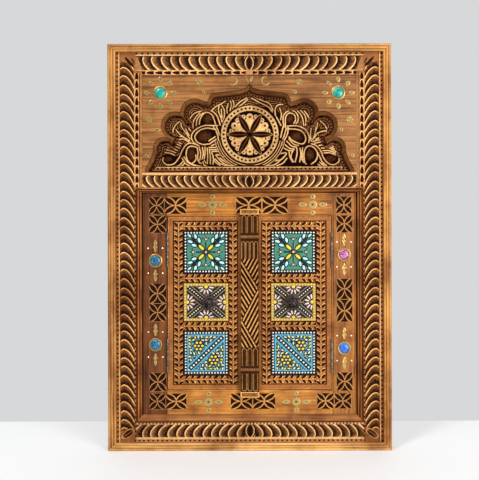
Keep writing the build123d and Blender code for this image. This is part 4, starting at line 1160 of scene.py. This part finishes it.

# Nails. Four small brass nails with domed heads stand round each stone on the jambs. Their heads are
# painted pale all over, as a painted highlight.
# The pale top colour covers every head: a painted highlight over the brass.
highlit_nail_brass = aged_brass("highlit_nail_brass", surround_face + 0.0012, 0.0008, (0.90, 0.80, 0.55))
nail = small_shape("domed_nail", lambda bm: add_turned(bm, Vector((0, 0, 0)), (
    (0, -7.9), (0.75, -7.5), (0.8, 0), (1.8, 0), (1.7, 0.45), (1.1, 0.85), (0, 1.0)), sides=12))
nail_places = [Vector((centre.x, surround_face, centre.z)) for centre, _, _ in islands("brass_nails")]
nails = bmesh.new()
join_in(nails, scattered("nails", nail, 0.001, nail_places, [(0, 0, 0)] * len(nail_places), highlit_nail_brass))
finish_mesh(nails, "domed_nails", "frame", highlit_nail_brass, "brass_nails")

# Door frames. Each door is a mortised frame of stiles and rails, carved with a braid of paired leaves round
# its three tile windows. A plain band and a dark groove run round the outside of the braid.
door_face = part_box("left_door_hinge_stile")[0].y
door_depth = 0.0022
braid_pitch, tile_gap = 13.3, 2.2
window_near, window_far = 48.5, 150.5
window_rows = ((397.7, 494.5), (288.7, 375.5), (166.7, 266.5))
band_near, band_head, band_foot = 173.6, 516.2, 145.4


def braid(along, across, half):
    """Paired leaves that branch from a spine, with a dark drop-shaped notch over each and a vein down it."""
    share = np.abs(across) / half
    wander = 0.05 * np.sin(along * 0.31 + 2 * np.sign(across)) + 0.04 * np.sin(along * 0.13)
    phase = along / braid_pitch - 0.42 * share + wander
    number = np.round(phase)
    phase = phase - number
    reach = 0.285 * np.sin(pi * np.clip((share - 0.10) / 0.95, 0.001, 1)) ** 0.6
    notch = np.clip((np.abs(phase) / (reach + 1e-6) - 0.72) / 0.28, 0, 1)
    leaf = 0.74 + 0.06 * np.sin(number * 2.4 + np.sign(across))
    leaf = np.where(np.abs(np.abs(phase) - 0.5) < 0.09, 0.56, leaf)
    leaf = np.maximum(leaf, 0.97 * rounded(phase - reach - 0.10, 0.12))
    leaf = np.where(np.abs(np.abs(across) - 2.0) < 0.6, 0.5, leaf)
    leaf = np.maximum(leaf, 0.9 * rounded(across, 1.2))
    return np.where(share < 1, np.minimum(leaf, 0.03 + 0.97 * notch), 0.5)


def door_height(x, z):
    """Carving on the face of a door, either side of the middle."""
    reach = np.abs(x)
    height = np.full(x.shape, 0.62)
    height = np.where((reach > 151.5) & (reach < 171.5), braid(z, reach - 161.5, 9.8), height)
    height = np.where((reach > 27.5) & (reach < 47.5), braid(z, reach - 38, 9.2), height)
    height = np.where((reach > 23) & (reach < 26), 0.66, height)
    height = scored(height, reach - 27.2, 0.9, 0.02)
    level = (reach > window_near) & (reach < window_far)
    for middle in (504.8, 386.6, 277.6, 156.8):
        height = np.where(level & (np.abs(z - middle) < 9.6), braid(x, z - middle, 9.3), height)
    beside = (reach > window_near - tile_gap) & (reach < window_far + tile_gap)
    for foot, head in window_rows:
        height = np.where(beside & (z > foot - tile_gap) & (z < head + tile_gap), 0.02, height)
    plain = (reach > 174.4) | (z > 517) | (z < 144.6)
    height = np.where(plain & (reach > 21), 0.70, height)
    height = np.where(plain & ((reach > 184.4) | (z > 525.4) | (z < 135.6)), 0.80, height)
    upright = (np.abs(reach - band_near) < 1.0) & (z < 517) & (z > 144)
    level = ((np.abs(z - band_head) < 1.0) | (np.abs(z - band_foot) < 1.0)) & (reach < 174)
    return np.where((upright | level) & (reach > 26.5), 0.02, height)


door_wood, door_back_wood = {}, {}
for along in ("x", "z"):
    door_wood[along] = carved_wood("door_wood_" + along, door_face, door_depth,
                                   (0.88, 0.465, 0.142), (0.30, 0.104, 0.023))
    door_back_wood[along] = stained_wood("door_back_wood_" + along, along,
                                         (0.30, 0.115, 0.030), (0.15, 0.052, 0.013))
for side, body in ((-1, "left_door"), (1, "right_door")):
    for piece in ("hinge_stile", "meeting_stile", "top_rail", "cross_rails", "bottom_rail"):
        node = body + "_" + piece
        low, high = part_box(node)
        columns = {"hinge_stile": (window_far, 185.5), "meeting_stile": (1, window_near)}.get(
            piece, (window_near, window_far))
        spans = {"top_rail": [(window_rows[0][1] / 1000, high.z)],
                 "cross_rails": [(lower[1] / 1000, upper[0] / 1000)
                                 for upper, lower in zip(window_rows, window_rows[1:])],
                 "bottom_rail": [(low.z, window_rows[-1][0] / 1000)]}.get(piece, [(low.z, high.z)])
        across = sorted(side * edge / 1000 for edge in columns)
        strips = [(across, span, door_height) for span in spans]
        along = "z" if piece.endswith("stile") else "x"
        carved_board(node, body, door_face, door_depth, strips,
                     (door_wood[along], door_back_wood[along]), cell=0.0008)

# Tiles. Three glazed clay tiles in each door, with dots, petals and outlines piped on in raised glaze before
# the firing: a green one, a yellow one and a blue one cut by a dotted diagonal. The two sides mirror.


class TilePainting:
    """The picture on a tile: a colour and a height at each place, painted one shape over another."""

    def __init__(self, x, z, low, high, side, ground):
        self.half_x, self.half_z = (high.x - low.x) * 500, (high.z - low.z) * 500
        self.x = (x - (high.x + low.x) * 500) * side
        self.z = z - (high.z + low.z) * 500
        self.from_edge = np.minimum(self.half_x - np.abs(self.x), self.half_z - np.abs(self.z))
        self.colour = np.full((*x.shape, 3), ground)
        self.height = np.zeros(x.shape)

    def paint(self, inside, colour, height):
        """Paints where inside is above 0; a drop of glaze stands highest in its middle."""
        cover = np.clip(inside * 14, 0, 1)[..., None]
        self.colour = self.colour * (1 - cover) + np.array(colour) * cover
        self.height = np.where(inside > 0, height * np.sqrt(np.clip(inside * 2, 0, 1)), self.height)

    def band(self, off, half, colour, height):
        """A flat band of glaze, so far to either side of a line."""
        self.paint((half - np.abs(off)) / half * 4, colour, height)

    def petal(self, x, z, length, width, turn, colour, outline=None, ring=2.2):
        """An oval drop of glaze, with a dark line round it when asked."""
        along = (self.x - x) * cos(turn) + (self.z - z) * sin(turn)
        across = (self.z - z) * cos(turn) - (self.x - x) * sin(turn)
        if outline is not None:
            self.paint(1 - np.hypot(along / (length / 2 + ring), across / (width / 2 + ring)), outline, 0.5)
        self.paint(1 - np.hypot(along / (length / 2), across / (width / 2)), colour, 1)

    def dots(self, places, *coats):
        """Round drops of glaze, in one coat over another, each given by its radius and colour."""
        for radius, colour in coats:
            for x, z in places:
                self.paint(1 - np.hypot(self.x - x, self.z - z) / radius, colour, 1)

    def stroke(self, start, end, width, colour, height=0.5):
        """A straight line of glaze."""
        run = np.hypot(end[0] - start[0], end[1] - start[1])
        ux, uz = (end[0] - start[0]) / run, (end[1] - start[1]) / run
        along = np.clip((self.x - start[0]) * ux + (self.z - start[1]) * uz, 0, run)
        off = np.hypot(self.x - start[0] - along * ux, self.z - start[1] - along * uz)
        self.paint(1 - off / (width / 2), colour, height)

    def rim(self, width, ground, dot, radius, pitch):
        """The border of a tile and its row of dots."""
        self.band(self.from_edge, width, ground, 0.2)
        middle_x, middle_z = self.half_x - width / 2, self.half_z - width / 2
        for half, other, upright in ((middle_x, middle_z, False), (middle_z, middle_x, True)):
            for place in np.linspace(-half, half, round(2 * half / pitch) + 1):
                for edge in (-other, other):
                    self.dots([(edge, place) if upright else (place, edge)], (radius, dot))


ink, pearl, blush = (0.006, 0.007, 0.008), (0.78, 0.76, 0.68), (0.70, 0.45, 0.37)
lemon, pale_sky = (0.74, 0.56, 0.03), (0.42, 0.72, 0.74)


def place_at(turn, out, aside=0.0):
    """A place so far out from the middle of a tile and so far aside, when looking along a direction."""
    return cos(turn) * out - sin(turn) * aside, sin(turn) * out + cos(turn) * aside


def green_tile(p):
    """Four lemon petals and four leafy sprays on a green ground."""
    for quarter in range(4):
        spray, stalk = pi / 4 + quarter * pi / 2, quarter * pi / 2
        p.stroke(place_at(spray, 18), place_at(spray, 50), 5.0, ink)
        for out, off in ((30, 8.2), (42.5, 8.6)):
            for hand in (-1, 1):
                leaf = place_at(spray, out, hand * off)
                p.stroke(place_at(spray, out - 9), leaf, 4.2, ink)
                p.petal(*leaf, 12, 5.8, spray + hand * 0.5, pale_sky, ink, 2.8)
        for hand in (-1, 1):
            p.dots([place_at(spray, 27, hand * 17)], (2.2, ink))
            p.petal(*place_at(spray, 40, hand * 19.5), 6, 3, spray + hand * 1.2, ink)
        p.petal(*place_at(spray, 53.5), 11, 4.8, spray, pale_sky, ink, 2.8)
        p.petal(*place_at(spray, 15), 15.5, 6.4, spray, lemon, ink, 2.8)
        p.stroke((0, 0), place_at(stalk, 21), 4.0, ink)
        p.stroke(place_at(stalk, 33), place_at(stalk, 38), 1.8, ink)
        p.dots([place_at(stalk, 29)], (4.6, ink), (2.5, blush))
    p.dots([(0, 0)], (5.4, ink), (2.6, blush))
    p.rim(8.0, ink, pearl, 1.75, 6.9)


def yellow_tile(p):
    """Navy corners crossed by dotted bands, with a fan of blush petals in from each side."""
    mint, ochre, navy, gold = (0.42, 0.64, 0.60), (0.50, 0.27, 0.006), (0.004, 0.007, 0.026), (0.40, 0.25, 0.03)
    shape = p.half_x / p.half_z
    for hand in (-1, 1):
        off = np.abs(p.x - hand * p.z * shape) / np.hypot(1, shape)
        p.band(off, 13.5, navy, 0.1)
        p.paint(1 - np.abs(off - 13.0) / 0.6, gold, 0.4)
        p.paint(1 - np.abs(off - 6.2) / 0.7, gold, 0.5)
        p.band(off, 4.8, ink, 0.2)
        slant = atan2(shape, 1)
        for place in np.arange(-54, 55, 6.0):
            p.dots([(hand * place * sin(slant), place * cos(slant))], (1.5, pearl))
    for out_x, out_z, reach in ((1, 0, p.half_x), (0, 1, p.half_z), (-1, 0, p.half_x), (0, -1, p.half_z)):
        x, z, inward = out_x * (reach - 8), out_z * (reach - 8), atan2(-out_z, -out_x)
        for turn in (-82, -50, -17, 17, 50, 82):
            lean = inward + radians(turn)
            p.petal(x + cos(lean) * 12.5, z + sin(lean) * 12.5, 11.5, 3.5, lean,
                    (0.72, 0.56, 0.51), (0.03, 0.014, 0.008))
        p.dots([(x, z)], (4.0, lemon))
    p.rim(6.4, ochre, mint, 1.35, 6.6)


def blue_tile(p):
    """A black dotted diagonal over a sky ground, with a yellow flower and loose leaves on each side of it."""
    navy, sky, rng = (0.004, 0.009, 0.018), (0.08, 0.36, 0.50), np.random.default_rng(11)
    flower_x, flower_z = 17, 16
    shape = p.half_x / p.half_z
    vine = np.sin(p.x * 0.30 + 1.9 * np.sin(p.z * 0.19)) * np.sin(p.z * 0.33 + 2.1 * np.sin(p.x * 0.17))
    p.paint((0.30 - np.abs(vine)) / 0.30, navy, 0.3)
    for place_x in np.arange(-36, 37, 9.0):
        for place_z in np.arange(-36, 37, 7.2):
            x, z = place_x + rng.uniform(-2, 2), place_z + rng.uniform(-1.4, 1.4)
            turn, pale = rng.uniform(0, pi), rng.random() < 0.68
            off_band = abs(z * shape + x) / np.sqrt(2)
            off_flower = min(np.hypot(x - flower_x, z - flower_z), np.hypot(x + flower_x, z + flower_z))
            if off_band > 11.5 and off_flower > 14.6:
                p.petal(x, z, 7.0, 3.4, turn, (0.68, 0.66, 0.36) if pale else lemon, navy)
    for hand in (-1, 1):
        x, z = flower_x * hand, flower_z * hand
        p.dots([(x + 8.4 * cos(t), z + 8.4 * sin(t)) for t in np.arange(6) * pi / 3], (5.6, navy), (2.8, lemon))
        p.dots([(x, z)], (4.4, navy), (2.4, blush))
    off = (p.x + p.z * shape) / np.sqrt(2)
    p.band(off, 8.0, sky, 0.2)
    p.band(off, 5.4, ink, 0.3)
    for place in np.arange(-64, 65, 8.0):
        p.dots([(place / np.sqrt(2), -place / np.sqrt(2) / shape)], (2.1, pearl))
    p.band(p.from_edge, 10.2, sky, 0.2)
    p.rim(8.0, ink, pearl, 1.75, 6.5)


def glaze(name):
    """Glossy glaze in the tile's own painted colours, a little uneven, with a finely pitted surface."""
    material, tree, shader = new_material(name)
    painted = add_node(tree, "ShaderNodeAttribute", {}, attribute_name="painting")
    pooling = noise(tree, object_places(tree), 120, 3)
    set_inputs(tree, shader, {
        "Base Color": dimmed(tree, painted.outputs["Color"], ranged(tree, pooling, 0.65, 1.15)),
        "Roughness": 0.22, "Specular IOR Level": 0.25, "Coat Weight": 0.15, "Coat Roughness": 0.08,
        "Normal": bumped(tree, pooling, 0.15, 0.0004)})
    return material


tile_depth = 0.0007
tile_glaze = glaze("tile_glaze")
for side, body in ((-1, "left_door"), (1, "right_door")):
    for name, ground, picture in (
            ("green_tile", (0.058, 0.215, 0.142), green_tile), ("yellow_tile", (0.045, 0.022, 0.012), yellow_tile),
            ("blue_tile", (0.075, 0.31, 0.41), blue_tile)):
        node = body + "_" + name
        low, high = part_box(node)

        def painted(x, z):
            painting = TilePainting(x, z, low, high, side, ground)
            picture(painting)
            return painting

        tile_strip = ((low.x, high.x), (low.z, high.z), lambda x, z: painted(x, z).height)
        tile = carved_board(node, body, low.y, tile_depth, (tile_strip,), (tile_glaze, tile_glaze),
                            cell=0.0005, thick=0.003)
        points = np.empty(len(tile.data.vertices) * 3)
        tile.data.vertices.foreach_get("co", points)
        colours = painted(points[0::3] * 1000, points[2::3] * 1000).colour
        layer = tile.data.color_attributes.new("painting", "FLOAT_COLOR", "POINT")
        layer.data.foreach_set("color", np.column_stack([colours, np.ones(len(colours))]).ravel())

# Knobs. Rough castings in dark antique metal, one on each yellow tile: a round flower on a short neck over
# a petalled plate, with a shank through the tile.


def rough_metal(name, pale, dark, scale, metallic, roughness):
    """Old metal with pale worn patches over its dark skin, and a grainy surface."""
    material, tree, shader = new_material(name)
    grain = noise(tree, object_places(tree), scale, 5)
    set_inputs(tree, shader, {
        "Base Color": ramp(tree, grain, ((0.42, dark), (0.66, pale))), "Metallic": metallic,
        "Roughness": ranged(tree, grain, roughness + 0.15, roughness - 0.1),
        "Normal": bumped(tree, grain, 0.5, 0.0006)})
    return material


knob_metal = rough_metal("knob_metal", (0.115, 0.066, 0.052), (0.004, 0.004, 0.005), 150, 0.45, 0.48)
shank_radius = 0.003
for body in ("left_door", "right_door"):
    node = body + "_knob"
    low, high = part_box(node)
    tile_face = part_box(body + "_yellow_tile")[0].y
    middle = Vector(((low.x + high.x) / 2, tile_face, (low.z + high.z) / 2))
    knob = bmesh.new()
    shank = tile_face - high.y
    add_turned(knob, middle, (
        (0, shank), (shank_radius, shank), (shank_radius, 0), (0.0189, 0, 0.10), (0.0189, 0.0016, 0.10),
        (0.0165, 0.0028, 0.12), (0.0105, 0.0036, 0.1), (0.0068, 0.006), (0.006, 0.0095), (0.0068, 0.012),
        (0.0105, 0.0145, 0.14, 0.1), (0.0158, 0.0172, 0.30, 0.2), (0.0172, 0.0200, 0.36, 0.3),
        (0.0146, 0.0230, 0.30, 0.4), (0.0112, 0.0236, 0.16, 0.5), (0.0104, 0.0216, 0.10, 0.5),
        (0.0094, 0.0236, 0.30, 0.75), (0.0080, 0.0258, 0.34, 0.9), (0.0058, 0.0263, 0.22, 1.1),
        (0.0048, 0.0246), (0.0036, 0.0262), (0.0020, 0.0269), (0, 0.027)), sides=64, lobes=8)
    finish_mesh(knob, node + "_cast", body, knob_metal, node, angle=60)

# Hinges. Butt hinges of dull plated steel: the frame's plates and knuckles, the doors' plates, the pins
# through them, and small countersunk screws.
hinge_steel = rough_metal("hinge_steel", (0.24, 0.215, 0.18), (0.07, 0.058, 0.048), 180, 0.7, 0.5)
for node in ("hinge_frame_plates", "hinge_pins", "hinge_frame_screws", "left_door_hinge_plates",
             "right_door_hinge_plates", "left_door_hinge_screws", "right_door_hinge_screws"):
    finish_node(node, hinge_steel)

# Pillar. A carved post glued on the right door, which laps over the left one. Caps and collars part it into
# fluted panels, and its long middle is cut with strokes that cross in a zigzag like weaving.
pillar_low, pillar_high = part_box("pillar")
pillar_face, pillar_depth = pillar_low.y, 0.0045
fluted_half, stroke_pitch = 19, 8.0


def pillar_flutes(x, z, foot, head, count, round_head, round_foot):
    """Arched flutes with a light ridge round each, and dark wood between them."""
    pitch = 2 * fluted_half / count
    centre = (np.floor((x + fluted_half) / pitch) + 0.5) * pitch - fluted_half
    reach = pitch * 0.38
    top = np.clip(z - (head - reach - 2), 0, None) if round_head else 0 * z
    base = np.clip((foot + reach + 2) - z, 0, None) if round_foot else 0 * z
    off = np.hypot(x - centre, top + base)
    inside = 0.34 + 0.16 * (off / reach) ** 2
    height = np.maximum(np.where(off < reach, inside, 0.04), 0.86 * rounded(off - reach, 1.3))
    return np.where(np.abs(x) > 19.2, 0.55, height)


def pillar_weave(x, z):
    """Strokes that run along the last zigzag line above them and stop at the next."""
    lines = ((1.80, 506.0), (-1.67, 398.3), (1.94, 329.6), (-1.75, 263.2))
    height = np.full(x.shape, 0.55)
    uncut = np.full(x.shape, True)
    for (slope, crossing), (next_slope, next_crossing) in zip(lines, (*lines[1:], (0, 0))):
        here = uncut & (z > next_slope * x + next_crossing)
        phase = (z - slope * x - crossing) / np.hypot(1, slope) / stroke_pitch
        off = np.abs(phase - np.round(phase))
        height = np.where(here, np.where(off < 0.17, 0.03, 0.36 + 0.52 * rounded(off - 0.46, 0.25)), height)
        uncut = uncut & ~here
    return np.where(np.abs(x) > 19.5, 0.6, height)


def pillar_height(x, z):
    """The whole face of the pillar: its weaving, flutes, collars and caps."""
    height = pillar_weave(x, z)
    for foot, head, count, round_head, round_foot in (
            (489.5, 530.5, 3, True, False), (430.5, 471.5, 4, True, False),
            (189.5, 230.5, 3, True, False), (130.5, 171.5, 3, False, True)):
        flutes = pillar_flutes(x, z, foot, head, count, round_head, round_foot)
        height = np.where((z >= foot) & (z <= head), flutes, height)
    for foot, head in ((471.5, 489.5), (171.5, 189.5)):
        middle = (foot + head) / 2
        collar = scored(0.44 + 0.3 * rounded(z - middle, 4.2), np.abs(z - middle) - 5.6, 1.0, 0.2)
        height = np.where((z > foot) & (z < head), collar, height)
    for foot, head in ((530.5, 543.5), (117.5, 130.5)):
        rim = np.minimum(np.minimum(z - foot, head - z), 21 - np.abs(x))
        height = np.where((z >= foot) & (z <= head), np.where(rim < 2.2, 0.93, 0.74), height)
    return height


pillar_wood = carved_wood("pillar_wood", pillar_face + 0.0003, 0.0036, (0.69, 0.35, 0.090), (0.125, 0.043, 0.011))
pillar_strip = ((pillar_low.x, pillar_high.x), (pillar_low.z, pillar_high.z), pillar_height)
carved_board("pillar", "right_door", pillar_face, pillar_depth, (pillar_strip,),
             (pillar_wood, plain_wood_z), cell=0.0007, thick=0.006)

# Mirror. A silvered sheet of glass in a rebate behind the doors, faintly uneven where it has been wiped.
silvering, silver, silver_shader = new_material("silvered_glass")
wiping = noise(silver, object_places(silver), 7, 5)
set_inputs(silver, silver_shader, {
    "Base Color": ramp(silver, wiping, ((0.3, (0.80, 0.84, 0.83)), (0.7, (0.90, 0.92, 0.92)))),
    "Metallic": 1, "Roughness": ranged(silver, wiping, 0.01, 0.07)})
finish_node("mirror_glass", silvering)

# Backing. A thin plywood board screwed on behind the glass, and thin boards behind the tiles of the doors.
# All of it is bare wood that was never stained, with the wide, wavy figure of peeled veneer.


def bare_plywood(name, along, light, dark):
    """Peeled veneer: wavy growth bands along the board, short fine pores and a dry surface."""
    material, tree, shader = new_material(name)
    place = object_places(tree)
    stretched = add_node(tree, "ShaderNodeMapping", {
        "Vector": place, "Scale": {"x": (1.6, 30, 14), "z": (14, 30, 1.6)}[along]}).outputs["Vector"]
    bands = noise(tree, stretched, 1.5, 2, distortion=0.6)
    rings = add_node(tree, "ShaderNodeMath", {0: bands, 1: 0.06}, operation="PINGPONG").outputs["Value"]
    pores = noise(tree, grain_places(tree, place, along), 4, 4)
    set_inputs(tree, shader, {
        "Base Color": ramp(tree, weighed(tree, rings, 6, pores), ((0.38, dark), (0.9, light))),
        "Roughness": 0.75, "Specular IOR Level": 0.25, "Normal": bumped(tree, pores, 0.2, 0.0004)})
    return material


finish_node("backing_board", bare_plywood("bare_plywood", "x", (0.52, 0.37, 0.21), (0.36, 0.225, 0.11)))
door_plywood = bare_plywood("bare_door_plywood", "z", (0.50, 0.35, 0.20), (0.33, 0.205, 0.10))
for node in ("left_door_back_panel", "right_door_back_panel"):
    finish_node(node, door_plywood)

# Hangers. Two plates of plated steel let into the backs of the stiles, each with two screws, and the
# screws that hold the backing board.
fitting_steel = rough_metal("fitting_steel", (0.42, 0.41, 0.39), (0.20, 0.19, 0.175), 140, 0.9, 0.38)
for node in ("hanger_plates", "hanger_screws", "backing_screws"):
    finish_node(node, fitting_steel)
